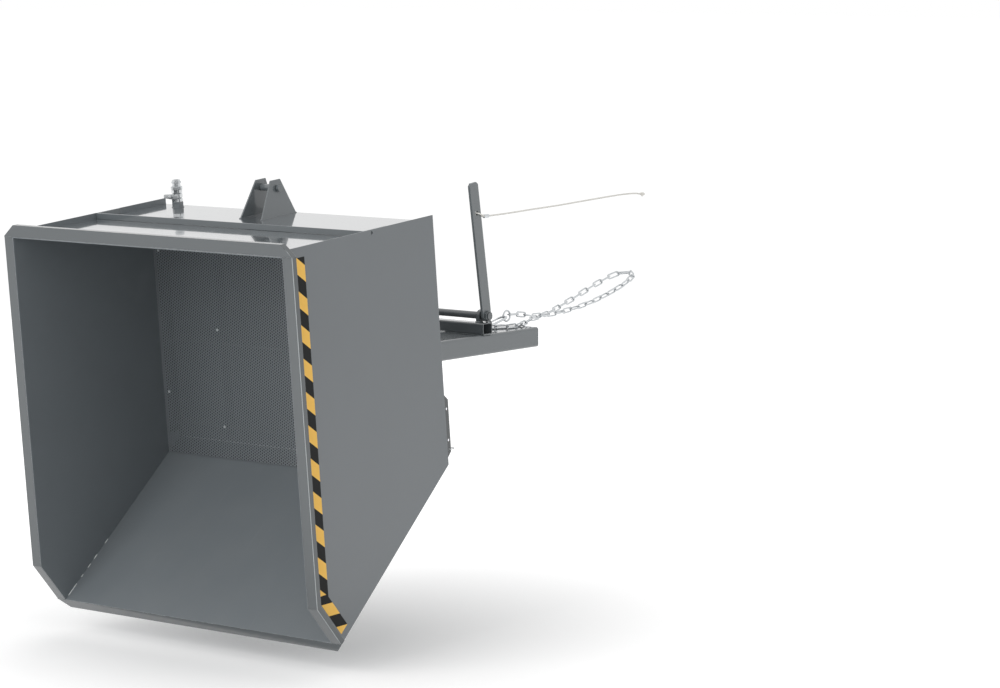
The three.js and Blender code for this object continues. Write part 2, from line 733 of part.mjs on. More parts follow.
// Drain: socket in the back wall, ball valve with a cross handle and a hose coupling
function makeDrain() {
  const [wallX, drainZ] = spot(wallRun - seatGap, drainDepth);
  const boreTool = (low, high) => rodX(0, 0, drainBore, low - overrun, high + overrun, coarseSides);
  const bored = (geometry, low, high) => cut(geometry, boreTool(low, high));
  const socketEnd = -socketLength;
  const socket = bored(rodX(0, 0, socketRadius, socketEnd, 0, 6), socketEnd, 0);
  place(hopper, 'drain_socket', socket, finish.framePaint).position.set(wallX, drainSide, drainZ);

  const valveHigh = socketEnd - seatGap;
  const valveLow = valveHigh - valveLength;
  const flange = valveFlangeShare * valveLength;
  const middle = (valveLow + valveHigh) / 2;
  const profile = [
    [0, valveLow], [valveRadius, valveLow], [valveRadius, valveLow + flange], [valveWaist, valveLow + flange],
    [valveRadius, middle - flange / 2], [valveRadius, middle + flange / 2],
    [valveWaist, valveHigh - flange], [valveRadius, valveHigh - flange],
    [valveRadius, valveHigh], [0, valveHigh]
  ].map(([radius, height]) => new THREE.Vector2(radius, height));
  const bossTop = valveRadius + stemBossLength;
  const body = new THREE.LatheGeometry(profile, roundSides).rotateZ(-Math.PI / 2);
  const boss = rodZ(middle, 0, stemBossRadius, valveWaist, bossTop);
  const stemHole = rodZ(middle, 0, boreFor(stemRadius), 0, bossTop + overrun);
  const ballSeat = ball(boreFor(ballRadius + runningGap, 0, coarseSides), middle);
  const valve = cut(bored(join(body, boss), valveLow, valveHigh), stemHole, ballSeat);
  place(hopper, 'drain_valve_body', valve, finish.chrome).position.set(wallX, drainSide, drainZ);

  const couplingHigh = valveLow - seatGap;
  const couplingLow = couplingHigh - couplingLength;
  const collar = couplingCollarShare * couplingLength;
  const barb = join(
    rodX(0, 0, couplingRadius, couplingHigh - collar, couplingHigh, 8),
    rodX(0, 0, valveWaist, couplingLow, couplingHigh - collar / 2),
    rodX(0, 0, couplingRadius - couplingBarbDrop, couplingLow + collar / 2, couplingLow + collar)
  );
  const coupling = bored(barb, couplingLow, couplingHigh);
  place(hopper, 'hose_coupling', coupling, finish.zinc).position.set(wallX, drainSide, drainZ);

  const handleLow = bossTop + seatGap;
  const handleHigh = handleLow + handleGauge;
  const half = handleSpan / 2;
  const tipHalf = handleWidth / 2;
  const hubHalf = stemBossRadius;
  const blade = plateXY([
    [-tipHalf, -half + tipHalf / 2], [-tipHalf / 2, -half], [tipHalf / 2, -half],
    [tipHalf, -half + tipHalf / 2], [hubHalf, 0], [tipHalf, half - tipHalf / 2],
    [tipHalf / 2, half], [-tipHalf / 2, half], [-tipHalf, half - tipHalf / 2], [-hubHalf, 0]
  ], handleLow, handleGauge).translate(middle, 0, 0);
  const handle = cut(blade, rodZ(middle, 0, boreFor(stemRadius), handleLow - overrun, handleHigh + overrun));
  place(hopper, 'valve_handle', handle, finish.handle).position.set(wallX, drainSide, drainZ);
  const nutLow = handleHigh + seatGap;
  // The ball's bore lies across the valve, as the handle does: the drain is shut
  const ballBore = rodY(middle, 0, drainBore, -ballRadius - overrun, ballRadius + overrun, coarseSides);
  const stem = join(
    cut(ball(ballRadius, middle), ballBore),
    rodZ(middle, 0, stemRadius, drainBore + stemRadius / 2, nutLow + handleNutHeight),
    rodZ(middle, 0, handleNutRadius, nutLow, nutLow + handleNutHeight, 6)
  );
  place(hopper, 'valve_stem', stem, finish.chrome).position.set(wallX, drainSide, drainZ);
}

// Skids: flanges under the floor beside the panels
function makeSkids() {
  const top = hopperDepth + seatGap;
  const foot = hopperDepth + skidDrop;
  const taper = skidDrop / 2;
  const points = [
    [skidStart, top], [skidStart, foot - taper], [skidStart + taper, foot],
    [skidStart + skidLength - taper, foot], [skidStart + skidLength, foot - taper],
    [skidStart + skidLength, top]
  ].map(([run, depth]) => spot(run, depth));
  const holes = (yLow) => [...skidHoleShares, clipHoleShare].map((share) => {
    const [x, z] = spot(skidStart + share * skidLength, hopperDepth + skidHoleDrop);
    const radius = share === clipHoleShare ? boreFor(clipWire, 2 * seatGap, coarseSides) : skidHoleRadius;
    return rodY(x, z, radius, yLow - overrun, yLow + skidGauge + overrun, coarseSides);
  });
  const skidSide = panelInner - skidInset;
  for (const [name, yLow] of [['floor_skid_left', skidSide], ['floor_skid_right', -skidSide - skidGauge]]) {
    place(hopper, name, cut(plateXZ(points, yLow, skidGauge), ...holes(yLow)), finish.framePaint);
  }
  const [clipX, clipZ] = spot(skidStart + clipHoleShare * skidLength, hopperDepth + skidHoleDrop);
  const wire = clipWire / 2;
  const reach = skidSide + skidGauge / 2;
  const centres = [];
  for (let i = 0; i < coarseSides; i += 1) {
    const angle = (i * 2 * Math.PI) / coarseSides;
    const z = clipZ - clipDrop / 2 + wire + (clipDrop / 2) * Math.cos(angle);
    centres.push(new THREE.Vector3(clipX, reach + clipReach * Math.sin(angle), z));
  }
  place(hopper, 'skid_clip', sweep(centres, wire, 6, true), finish.zinc);
}

// Pivot hangers: a bearing tube, two gussets and a pad against the floor
function makeHangers() {
  const bushOuter = shaftRadius + bushWall;
  const tubeBore = boreFor(bushOuter, seatGap, fineSides);
  const padTop = pivotDrop - seatGap;
  const half = hangerPlateSpan / 2;
  const tubeHalf = pocketWidth / 2;
  const gusset = [
    [-hangerRearLength, padTop - hangerPadGauge], [-hangerRearLength, padTop - 2 * hangerPadGauge],
    [-hangerOuter, -hangerOuter * hangerHeelShare], [0, -hangerOuter / 2], [hangerOuter / 2, 0],
    [hangerFrontLength, padTop - 2 * hangerPadGauge], [hangerFrontLength, padTop - hangerPadGauge]
  ];
  for (const [side, middle] of [['left', pocketCentre], ['right', -pocketCentre]]) {
    const low = middle - half;
    const high = middle + half;
    const tubeLow = middle - tubeHalf;
    const tubeHigh = middle + tubeHalf;
    const body = join(
      rodY(0, 0, hangerOuter, tubeLow, tubeHigh, fineSides),
      plateXZ(gusset, low, hangerGauge),
      plateXZ(gusset, high - hangerGauge, hangerGauge),
      box([-hangerRearLength, hangerFrontLength], [middle - hangerPadWidth / 2, middle + hangerPadWidth / 2],
        [padTop - hangerPadGauge, padTop])
    );
    const bored = cut(body, rodY(0, 0, tubeBore, tubeLow - overrun, tubeHigh + overrun, fineSides));
    place(hopper, `pivot_hanger_${side}`, bored, finish.framePaint);
    const bushBore = boreFor(shaftRadius, runningGap, fineSides);
    const bush = tubeY(0, 0, bushOuter, bushBore, tubeLow, tubeHigh, fineSides);
    place(hopper, `pivot_bush_${side}`, bush, finish.bronze);
  }
}

// Fork pockets and the members between them
const pocketTop = pocketWall;
const pocketFoot = pocketTop - pocketHeight;
const frameHalf = pocketCentre + pocketWidth / 2;
const frameInner = pocketCentre - pocketWidth / 2;

function makeFrame() {
  const section = tubeSection(pocketWidth, pocketHeight, pocketWall, pocketCorner);
  const level = pocketTop - pocketHeight / 2;
  const pocket = (y) => barX(section, 0, pocketLength).translate(0, y, level);
  place(assembly, 'fork_pocket_left', pocket(pocketCentre), finish.framePaint);
  place(assembly, 'fork_pocket_right', pocket(-pocketCentre), finish.framePaint);

  const across = crossTubeLength / 2;
  const crossSection = tubeSection(crossTubeDepth, crossTubeHeight, crossTubeWall, crossTubeCorner);
  const cross = plateXZ(crossSection, -across, 2 * across);
  const crossLevel = pocketTop + seatGap + crossTubeHeight / 2;
  cross.translate(crossTubeStart + crossTubeDepth / 2, 0, crossLevel);
  place(assembly, 'rear_cross_tube', cross, finish.framePaint);

  const beamSection = tubeSection(restBeamSize, restBeamSize, restBeamWall, 2 * restBeamWall);
  const beam = plateXZ(beamSection, -frameHalf, 2 * frameHalf);
  const beamTop = pocketTop + seatGap + restBeamSize;
  const beamMiddle = restBeamStart + restBeamSize / 2;
  place(assembly, 'rest_beam', beam.translate(beamMiddle, 0, beamTop - restBeamSize / 2), finish.framePaint);
  const floorLevel = pivotHeight + pivotDrop;
  for (const [side, y] of [['left', bufferOffset], ['right', -bufferOffset]]) {
    const buffer = rodZ(beamMiddle, y, bufferRadius, beamTop + seatGap, floorLevel - seatGap);
    place(assembly, `rest_buffer_${side}`, buffer, finish.rubber);
  }

  const channelHalf = frameInner - bracketGauge - 2 * seatGap;
  const channelStart = pocketLength - channelDepth;
  const channelSection = [
    [channelStart, pocketFoot], [pocketLength, pocketFoot],
    [pocketLength, pocketTop], [channelStart, pocketTop],
    [channelStart, pocketTop - channelWall], [pocketLength - channelWall, pocketTop - channelWall],
    [pocketLength - channelWall, pocketFoot + channelWall], [channelStart, pocketFoot + channelWall]
  ];
  place(assembly, 'front_channel', plateXZ(channelSection, -channelHalf, 2 * channelHalf), finish.framePaint);

  // Rubber stops whose front faces lean with the tipped floor
  const lean = THREE.MathUtils.degToRad(tipAngle - 90);
  const floorFace = (z) => pivotForward + pivotDrop / Math.cos(lean) + (z - pivotHeight) * Math.tan(lean);
  for (const [side, y] of [['left', stopOffset], ['right', -stopOffset]]) {
    const far = floorFace(stopHeight) + stopRadius;
    const wedge = [
      [floorFace(stopHeight - 2 * stopRadius) - seatGap, stopHeight - 2 * stopRadius],
      [far + stopRadius, stopHeight - 2 * stopRadius], [far + stopRadius, stopHeight + 2 * stopRadius],
      [floorFace(stopHeight + 2 * stopRadius) - seatGap, stopHeight + 2 * stopRadius]
    ];
    const tool = plateXZ(wedge, y - 2 * stopRadius, 4 * stopRadius);
    const stop = cut(rodX(y, stopHeight, stopRadius, pocketLength + seatGap, far), tool);
    place(assembly, `tip_stop_${side}`, stop, finish.rubber);
  }
}

// Pivot brackets, headed shaft and retaining ring
function makePivot() {
  const holeRadius = boreFor(shaftRadius, seatGap, fineSides);
  const front = pocketLength + seatGap + bracketNose;
  const rise = pivotHeight;
  const shape = new THREE.Shape();
  shape.moveTo(front - bracketDepth, pocketFoot).lineTo(front, pocketFoot);
  shape.lineTo(pivotForward + bracketHead, rise);
  shape.absarc(pivotForward, rise, bracketHead, 0, Math.PI);
  shape.lineTo(front - bracketDepth, pocketTop - pocketWall);
  const plates = [
    ['left_outer', frameHalf + seatGap], ['left_inner', frameInner - seatGap - bracketGauge],
    ['right_inner', -frameInner + seatGap], ['right_outer', -frameHalf - seatGap - bracketGauge]
  ];
  for (const [where, yLow] of plates) {
    const yHigh = yLow + bracketGauge;
    const hole = rodY(pivotForward, rise, holeRadius, yLow - overrun, yHigh + overrun, fineSides);
    const plate = cut(plateXZ(shape, yLow, bracketGauge), hole);
    place(assembly, `pivot_bracket_${where}`, plate, finish.framePaint);
  }

  const outerFace = frameHalf + seatGap + bracketGauge;
  const ringLow = -outerFace - seatGap - ringWidth;
  const headLow = outerFace + seatGap;
  const shaft = join(
    rodY(pivotForward, rise, shaftRadius, ringLow - shaftEndOverhang, headLow + ringWidth, fineSides),
    rodY(pivotForward, rise, ringRadius, headLow, headLow + ringWidth, fineSides)
  );
  place(assembly, 'pivot_shaft', shaft, finish.zinc);
  const ring = tubeY(pivotForward, rise, ringRadius, holeRadius, ringLow, ringLow + ringWidth, fineSides);
  place(assembly, 'pivot_ring', ring, finish.zinc);
}

// Latch: one shaft carries the release lever at the left end and the hook near the middle
const crossTubeTop = pocketTop + seatGap + crossTubeHeight;

function makeLatch() {
  const boreRadius = boreFor(latchShaftRadius);
  for (const [side, y] of [['left', bearingLeft], ['right', bearingRight]]) {
    const low = y - bearingWidth / 2;
    const foot = crossTubeTop + seatGap;
    const rear = crossTubeStart + crossTubeCorner;
    const shape = new THREE.Shape();
    shape.moveTo(rear, foot).lineTo(latchForward + bearingHalfDepth, foot);
    shape.lineTo(latchForward + bearingHalfDepth, latchHeight);
    shape.absarc(latchForward, latchHeight, bearingHalfDepth, 0, Math.PI);
    shape.lineTo(latchForward - bearingHalfDepth, latchHeight - bearingHalfDepth / 2);
    const bore = rodY(latchForward, latchHeight, boreRadius, low - overrun, low + bearingWidth + overrun);
    place(assembly, `latch_bearing_${side}`, cut(plateXZ(shape, low, bearingWidth), bore), finish.framePaint);
  }

  const nutLow = leverSide + leverGauge + seatGap;
  const shaftHigh = nutLow + leverNutHeight + shaftEndOverhang;
  const shaftLow = bearingRight - bearingWidth;
  const shaft = rodY(latchForward, latchHeight, latchShaftRadius, shaftLow, shaftHigh);
  place(assembly, 'latch_shaft', shaft, finish.zinc);
  const fixedBore = boreFor(latchShaftRadius, seatGap);
  const nut = hexNut(leverNutRadius, fixedBore, nutLow, leverNutHeight);
  place(assembly, 'lever_nut', nut.translate(latchForward, 0, latchHeight), finish.zinc);

  const half = leverWidth / 2;
  const hubHalf = Math.min(half, hubRadius);
  const leverShape = new THREE.Shape();
  leverShape.absarc(0, 0, hubHalf, Math.PI, 2 * Math.PI);
  leverShape.lineTo(half, hubRadius).lineTo(half, leverLength - leverChamfer);
  leverShape.lineTo(half - leverChamfer, leverLength);
  leverShape.lineTo(-half + leverChamfer, leverLength).lineTo(-half, leverLength - leverChamfer);
  leverShape.lineTo(-half, hubRadius);
  const lever = cut(
    plateXZ(leverShape, leverSide, leverGauge),
    rodY(0, 0, fixedBore, leverSide - overrun, leverSide + leverGauge + overrun),
    rodY(0, leverHoleRise, leverHoleRadius, leverSide - overrun, leverSide + leverGauge + overrun)
  ).rotateY(THREE.MathUtils.degToRad(leverLean));
  place(assembly, 'release_lever', lever.translate(latchForward, 0, latchHeight), finish.framePaint);

  makeHook(fixedBore);
}

// The hook's throat stands round the lug's bush when the hopper is upright and latched
function makeHook(bore) {
  const [upX, upZ] = spot(rimFace - lugBoltRun, lugBoltDepth);
  const bushX = pivotForward + upX - latchForward;
  const bushZ = pivotHeight + upZ - latchHeight;
  const throat = lugBushRadius + hookThroatGap;
  const seat = crossTubeTop + seatGap - latchHeight;
  const shape = new THREE.Shape();
  const [hubFrom, hubTo] = hookHubTurnShares.map((share) => share * Math.PI);
  const [throatFrom, throatTo] = hookThroatTurnShares.map((share) => share * Math.PI);
  const [neck, shoulder] = hookNeckShares.map((share) => share * hubRadius);
  const [tipRear, tipRise] = hookTipTaperShares.map((share) => share * hookThickness);
  shape.absarc(0, 0, hubRadius, hubFrom, hubTo);
  shape.lineTo(neck, seat).lineTo(shoulder, seat + hookThickness / 2);
  shape.lineTo(bushX - throat * hookHeelShare, bushZ - throat);
  shape.absarc(bushX, bushZ, throat, throatFrom, throatTo, true);
  shape.lineTo(bushX + hookNose, bushZ + throat * hookTipRiseShare);
  shape.lineTo(bushX + hookNose - tipRear, bushZ + throat + tipRise);
  shape.lineTo(bushX - throat, bushZ + throat + hookThickness);
  shape.lineTo(bushX - throat - hookThickness, bushZ + throat / 2 + hookThickness / 2);
  const hubLow = hookSide - collarWidth;
  const hubHigh = hookSide + hookGauge + collarWidth;
  const body = join(plateXZ(shape, hookSide, hookGauge), rodY(0, 0, collarRadius, hubLow, hubHigh));
  const hook = cut(body, rodY(0, 0, bore, hubLow - overrun, hubHigh + overrun));
  place(assembly, 'latch_hook', hook.translate(latchForward, 0, latchHeight), finish.framePaint);
}

// Release rope: a loop through the lever, its clamp, the run and the knot at its end
function makeRope() {
  const lean = THREE.MathUtils.degToRad(leverLean);
  const holeX = latchForward + leverHoleRise * Math.sin(lean);
  const holeZ = latchHeight + leverHoleRise * Math.cos(lean);
  const middle = leverSide + leverGauge / 2;
  const route = ropeRoute.map(fromLatch);
  const start = route[0];
  const clampFront = start.x + seatGap + clampLength;
  const rearTurn = clampFront + seatGap + loopWire + loopRadius;
  const bow = loopRadius - Math.sqrt(loopRadius ** 2 - (leverGauge / 2) ** 2);
  const holeRear = holeX - leverHoleRadius * Math.cos(Math.PI / roundSides);
  const frontTurn = holeRear + 2 * seatGap + loopWire + bow - loopRadius;
  const drop = start.z - holeZ;
  const centres = [];
  const arc = roundSides / 2;
  for (let i = 0; i <= arc; i += 1) {
    const angle = -Math.PI / 2 + (i * Math.PI) / arc;
    centres.push(new THREE.Vector3(frontTurn + loopRadius * Math.cos(angle), loopRadius * Math.sin(angle), 0));
  }
  for (let i = 0; i <= arc; i += 1) {
    const angle = Math.PI / 2 + (i * Math.PI) / arc;
    centres.push(new THREE.Vector3(rearTurn + loopRadius * Math.cos(angle), loopRadius * Math.sin(angle), 0));
  }
  const run = frontTurn - rearTurn + 2 * loopRadius;
  for (const centre of centres) {
    const share = (frontTurn + loopRadius - centre.x) / run;
    centre.y += middle;
    centre.z = holeZ + drop * share;
  }
  place(assembly, 'rope_loop', sweep(centres, loopWire, 8, true), finish.rope);

  const clamp = rodX(middle, start.z, clampRadius, start.x + seatGap, clampFront, 8);
  place(assembly, 'cable_clamp', clamp, finish.zinc);

  const curve = new THREE.CatmullRomCurve3(route);
  const steps = Math.round(curve.getLength() / (ropeStepShare * 2 * ropeRadius));
  const section = outline(Array.from({ length: ropeSection }, (_, i) => {
    const angle = (i * 2 * Math.PI) / ropeSection;
    return [ropeRadius * Math.cos(angle), ropeRadius * Math.sin(angle)];
  }));
  const rope = new THREE.ExtrudeGeometry(section, { steps, extrudePath: curve, bevelEnabled: false });
  place(assembly, 'release_cable', rope, finish.rope);

  const end = route[route.length - 1];
  const last = route[route.length - 2];
  const away = end.clone().sub(last).normalize();
  const knotProfile = knotShares
    .map(([radius, height]) => new THREE.Vector2(radius * knotRadius, height * knotLength));
  const turn = new THREE.Quaternion().setFromUnitVectors(new THREE.Vector3(0, 1, 0), away);
  const knot = new THREE.LatheGeometry(knotProfile, coarseSides).applyQuaternion(turn);
  const seat = end.clone().addScaledVector(away, seatGap);
  place(assembly, 'cable_knot', knot.translate(seat.x, seat.y, seat.z), finish.rope);
}

// Rings are tori in the upright fore-and-aft plane
function ringXZ(x, z, radius, wire, segments) {
  return new THREE.TorusGeometry(radius, wire, 6, segments).rotateX(Math.PI / 2).translate(x, chainSide, z);
}

// One link: a torus stretched into an oval, standing in X and Y about the origin
function makeLink() {
  const radius = linkInnerWidth / 2 + linkWire;
  const halfStep = Math.PI / linkSegments;
  const stretch = linkInnerLength / 2 - (linkInnerWidth / 2) * Math.cos(halfStep);
  const link = new THREE.TorusGeometry(radius, linkWire, linkSection, linkSegments).rotateZ(halfStep);
  const positions = link.attributes.position;
  for (let i = 0; i < positions.count; i += 1) {
    positions.setX(i, positions.getX(i) + Math.sign(positions.getX(i)) * stretch);
  }
  return link;
}

// Points along a route, each a straight pitch from the last
function stepAlong(route, pitch) {
  const curve = new THREE.CatmullRomCurve3(route);
  const samples = curve.getSpacedPoints(route.length * samplesPerPoint);
  const joints = [samples[0]];
  let last = samples[0];
  samples.slice(1).forEach((sample, i) => {
    const before = samples[i].distanceTo(last);
    const after = sample.distanceTo(last);
    if (after >= pitch) {
      last = samples[i].clone().lerp(sample, (pitch - before) / (after - before));
      joints.push(last);
    }
  });
  return joints;
}

// Links laid nose to tail along a route, each turned a quarter from the last and bearing on it.
// The whole run may twist from one roll to another on its way.
function layLinks(route, firstRoll, lastRoll) {
  const joints = stepAlong(route, linkInnerLength + linkBiteDepth);
  const link = makeLink();
  const links = joints.slice(1).map((joint, i) => {
    const along = joint.clone().sub(joints[i]).normalize();
    const side = new THREE.Vector3(0, 0, 1).cross(along).normalize();
    const up = along.clone().cross(side);
    const turn = new THREE.Matrix4().makeBasis(along, side, up);
    const twist = ((lastRoll - firstRoll) * i) / (joints.length - 1);
    const roll = THREE.MathUtils.degToRad(firstRoll + twist + (i % 2) * linkQuarter);
    const middle = joint.clone().add(joints[i]).multiplyScalar(0.5);
    return link.clone().rotateX(roll).applyMatrix4(turn).translate(middle.x, middle.y, middle.z);
  });
  return { run: join(...links), count: links.length, end: joints[joints.length - 1] };
}

function makeChain() {
  // Eye on the cross tube's rear face
  const eyeX = crossTubeStart - seatGap - eyeRadius - eyeWire;
  const eyeZ = crossTubeTop - eyeDrop;
  place(assembly, 'chain_eye', ringXZ(eyeX, eyeZ, eyeRadius, eyeWire, roundSides), finish.framePaint);

  // Carabiner: its front end hangs in the eye
  const start = new THREE.Vector3(eyeX - eyeRadius, chainSide, eyeZ);
  const aim = fromLatch(chainAim);
  const away = aim.clone().sub(start).setY(0).normalize();
  const side = new THREE.Vector3(0, 1, 0);
  const reach = carabinerStraight / 2 + carabinerRadius;
  const bow = (wire) => carabinerRadius - Math.sqrt(carabinerRadius ** 2 - wire ** 2);
  const grip = eyeWire + carabinerWire + bow(eyeWire) + seatGap;
  const centre = start.clone().addScaledVector(away, reach - grip);
  const at = (along, across) => centre.clone().addScaledVector(away, along).addScaledVector(side, across);
  const half = carabinerStraight / 2;
  const steps = 8;
  const body = [at(carabinerOpening / 2, -carabinerRadius)];
  for (let i = 0; i <= steps; i += 1) {
    const angle = -Math.PI / 2 + (i * Math.PI) / steps;
    body.push(at(half + carabinerRadius * Math.cos(angle), carabinerRadius * Math.sin(angle)));
  }
  for (let i = 0; i <= steps; i += 1) {
    const angle = Math.PI / 2 + (i * Math.PI) / steps;
    body.push(at(-half + carabinerRadius * Math.cos(angle), carabinerRadius * Math.sin(angle)));
  }
  body.push(at(-carabinerOpening / 2, -carabinerRadius));
  place(assembly, 'carabiner', sweep(body, carabinerWire, 8, false), finish.zinc);
  // Gate: a knuckle at its hinge end, so that it turns clear of the body
  const gateHalf = carabinerOpening / 2 - seatGap;
  const hingeAt = at(gateHalf - gateWire, -carabinerRadius);
  const free = at(-gateHalf, -carabinerRadius);
  const bar = sweep([free, at(0, -carabinerRadius), hingeAt], gateWire, 8, false);
  const knuckle = rodZ(0, 0, gateWire, -gateWire, gateWire).rotateY(Math.atan2(away.z, -away.x));
  knuckle.translate(hingeAt.x, hingeAt.y, hingeAt.z);
  place(assembly, 'carabiner_gate', join(bar, knuckle), finish.zinc);

  // Ring between the carabiner and the chain
  const ringStart = at(reach - carabinerWire - ringWire - bow(ringWire) - seatGap, 0);
  const toward = aim.clone().sub(ringStart).setY(0).normalize();
  const ringMiddle = ringStart.clone().addScaledVector(toward, chainRingRadius);
  const ring = ringXZ(ringMiddle.x, ringMiddle.z, chainRingRadius, ringWire, roundSides);
  place(assembly, 'chain_ring', ring, finish.zinc);

  const ringHold = chainRingRadius - ringWire - seatGap - linkBiteDepth / 2;
  const chainStart = ringMiddle.clone().addScaledVector(toward, ringHold);
  const loopRoute = [...chainNearRoute, ...chainFarRoute].map(fromLatch);
  const loop = layLinks([chainStart, ...loopRoute], 0, linkRoll);
  place(assembly, 'safety_chain', loop.run, finish.zinc);
  const slackStart = loop.end.clone();
  slackStart.x -= linkBiteDepth + 2 * seatGap;
  const slackRoll = linkRoll + (loop.count % 2) * linkQuarter;
  const slack = layLinks([slackStart, ...chainPileRoute.map(fromLatch)], slackRoll, slackRoll);
  place(assembly, 'chain_slack', slack.run, finish.zinc);
}

makeRim();
makePanels();
makeWalls();
makeStrainer();
makeCrossBar();
makeLug();
makeDrain();
makeSkids();
makeHangers();
makeFrame();
makePivot();
makeLatch();
makeRope();
makeChain();

export default assembly;
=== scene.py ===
"""Looks of a self dumping hopper: painted sheet steel that hangs tipped from its fork frame.

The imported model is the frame: metres, +X forward (the way it pours), +Y to the left, +Z up.
Sizes below are millimetres and angles degrees, as on a drawing, and MM turns sizes into metres.
TIPPED is how far the skip is turned from upright at rest.
"""

from __future__ import annotations

import json
import logging
import math
from collections.abc import Callable, Iterable, Sequence
from dataclasses import dataclass
from enum import Enum
from typing import ClassVar

import bmesh
import bpy
from mathutils import Matrix, Vector, noise

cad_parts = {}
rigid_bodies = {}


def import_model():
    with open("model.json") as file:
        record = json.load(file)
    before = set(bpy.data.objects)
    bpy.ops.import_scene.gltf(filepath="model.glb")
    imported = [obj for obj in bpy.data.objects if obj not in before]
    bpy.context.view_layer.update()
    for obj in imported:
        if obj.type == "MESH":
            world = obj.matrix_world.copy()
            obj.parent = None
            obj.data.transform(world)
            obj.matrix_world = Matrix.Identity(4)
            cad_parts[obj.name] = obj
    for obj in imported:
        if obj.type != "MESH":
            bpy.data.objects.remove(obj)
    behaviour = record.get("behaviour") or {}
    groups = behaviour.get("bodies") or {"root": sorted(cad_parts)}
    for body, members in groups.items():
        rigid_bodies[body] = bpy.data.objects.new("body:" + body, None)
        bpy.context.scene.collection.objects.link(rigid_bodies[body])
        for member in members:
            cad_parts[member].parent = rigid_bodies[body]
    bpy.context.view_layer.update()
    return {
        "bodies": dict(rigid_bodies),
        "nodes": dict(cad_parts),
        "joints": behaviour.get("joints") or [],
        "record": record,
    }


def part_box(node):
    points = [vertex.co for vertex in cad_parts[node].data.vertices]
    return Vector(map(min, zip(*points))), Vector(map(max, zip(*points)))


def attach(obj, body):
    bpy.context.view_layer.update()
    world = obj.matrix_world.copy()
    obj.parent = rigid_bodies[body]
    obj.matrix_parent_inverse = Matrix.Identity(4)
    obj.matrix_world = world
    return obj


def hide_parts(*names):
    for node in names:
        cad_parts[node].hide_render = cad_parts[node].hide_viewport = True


LOG = logging.getLogger("self_dumping_hopper")
MM = 0.001
MERGE = 0.02 * MM
FINE_MERGE = 0.001 * MM
FULL_TURN = 2 * math.pi
TIPPED = 95.0
WHITE = (1.0, 1.0, 1.0, 1.0)
Point = tuple[float, float, float]
Band = tuple[float, float]


class Body(Enum):
    """The bodies that pieces ride on."""

    FRAME = "frame"
    HOPPER = "hopper"
    DRAIN_HANDLE = "drain_handle"
    LATCH = "latch"
    ROPE = "rope"
    GATE = "gate"


class Slot(Enum):
    """The material slots of the record, one for each finish."""

    HOPPER = "hopper_paint"
    INNER = "inner_paint"
    RIM = "rim_paint"
    FRAME = "frame_paint"
    ZINC = "zinc"
    CHROME = "chrome"
    HANDLE = "handle_steel"
    BRONZE = "bronze"
    RUBBER = "rubber"
    ROPE = "rope"


def both(name: str) -> tuple[str, str]:
    """The names of a left node and its right twin."""
    return f"{name}_left", f"{name}_right"


def linear(code: str) -> tuple[float, float, float, float]:
    """Linear colour of a six-digit hex code.

    Args:
        code: The colour as written on a screen, such as "6f7579".

    Returns:
        Red, green, blue and an alpha of one, in linear light.
    """
    channels = [int(code[i : i + 2], 16) / 255 for i in (0, 2, 4)]
    red, green, blue = (c / 12.92 if c <= 0.04045 else ((c + 0.055) / 1.055) ** 2.4 for c in channels)
    return red, green, blue, 1.0


def span(points: Sequence[Vector]) -> tuple[Vector, Vector]:
    """The box round some points.

    Args:
        points: The points.

    Returns:
        Its lowest and its highest corner.
    """
    low = Vector([min(p[i] for p in points) for i in range(3)])
    high = Vector([max(p[i] for p in points) for i in range(3)])
    return low, high


def linked(name: str, data: bpy.types.ID) -> bpy.types.Object:
    """A new object in the scene, at the origin.

    Args:
        name: Its name.
        data: Its mesh, curve, camera or lamp.

    Returns:
        The object.
    """
    made = bpy.data.objects.new(name, data)
    bpy.context.scene.collection.objects.link(made)
    return made


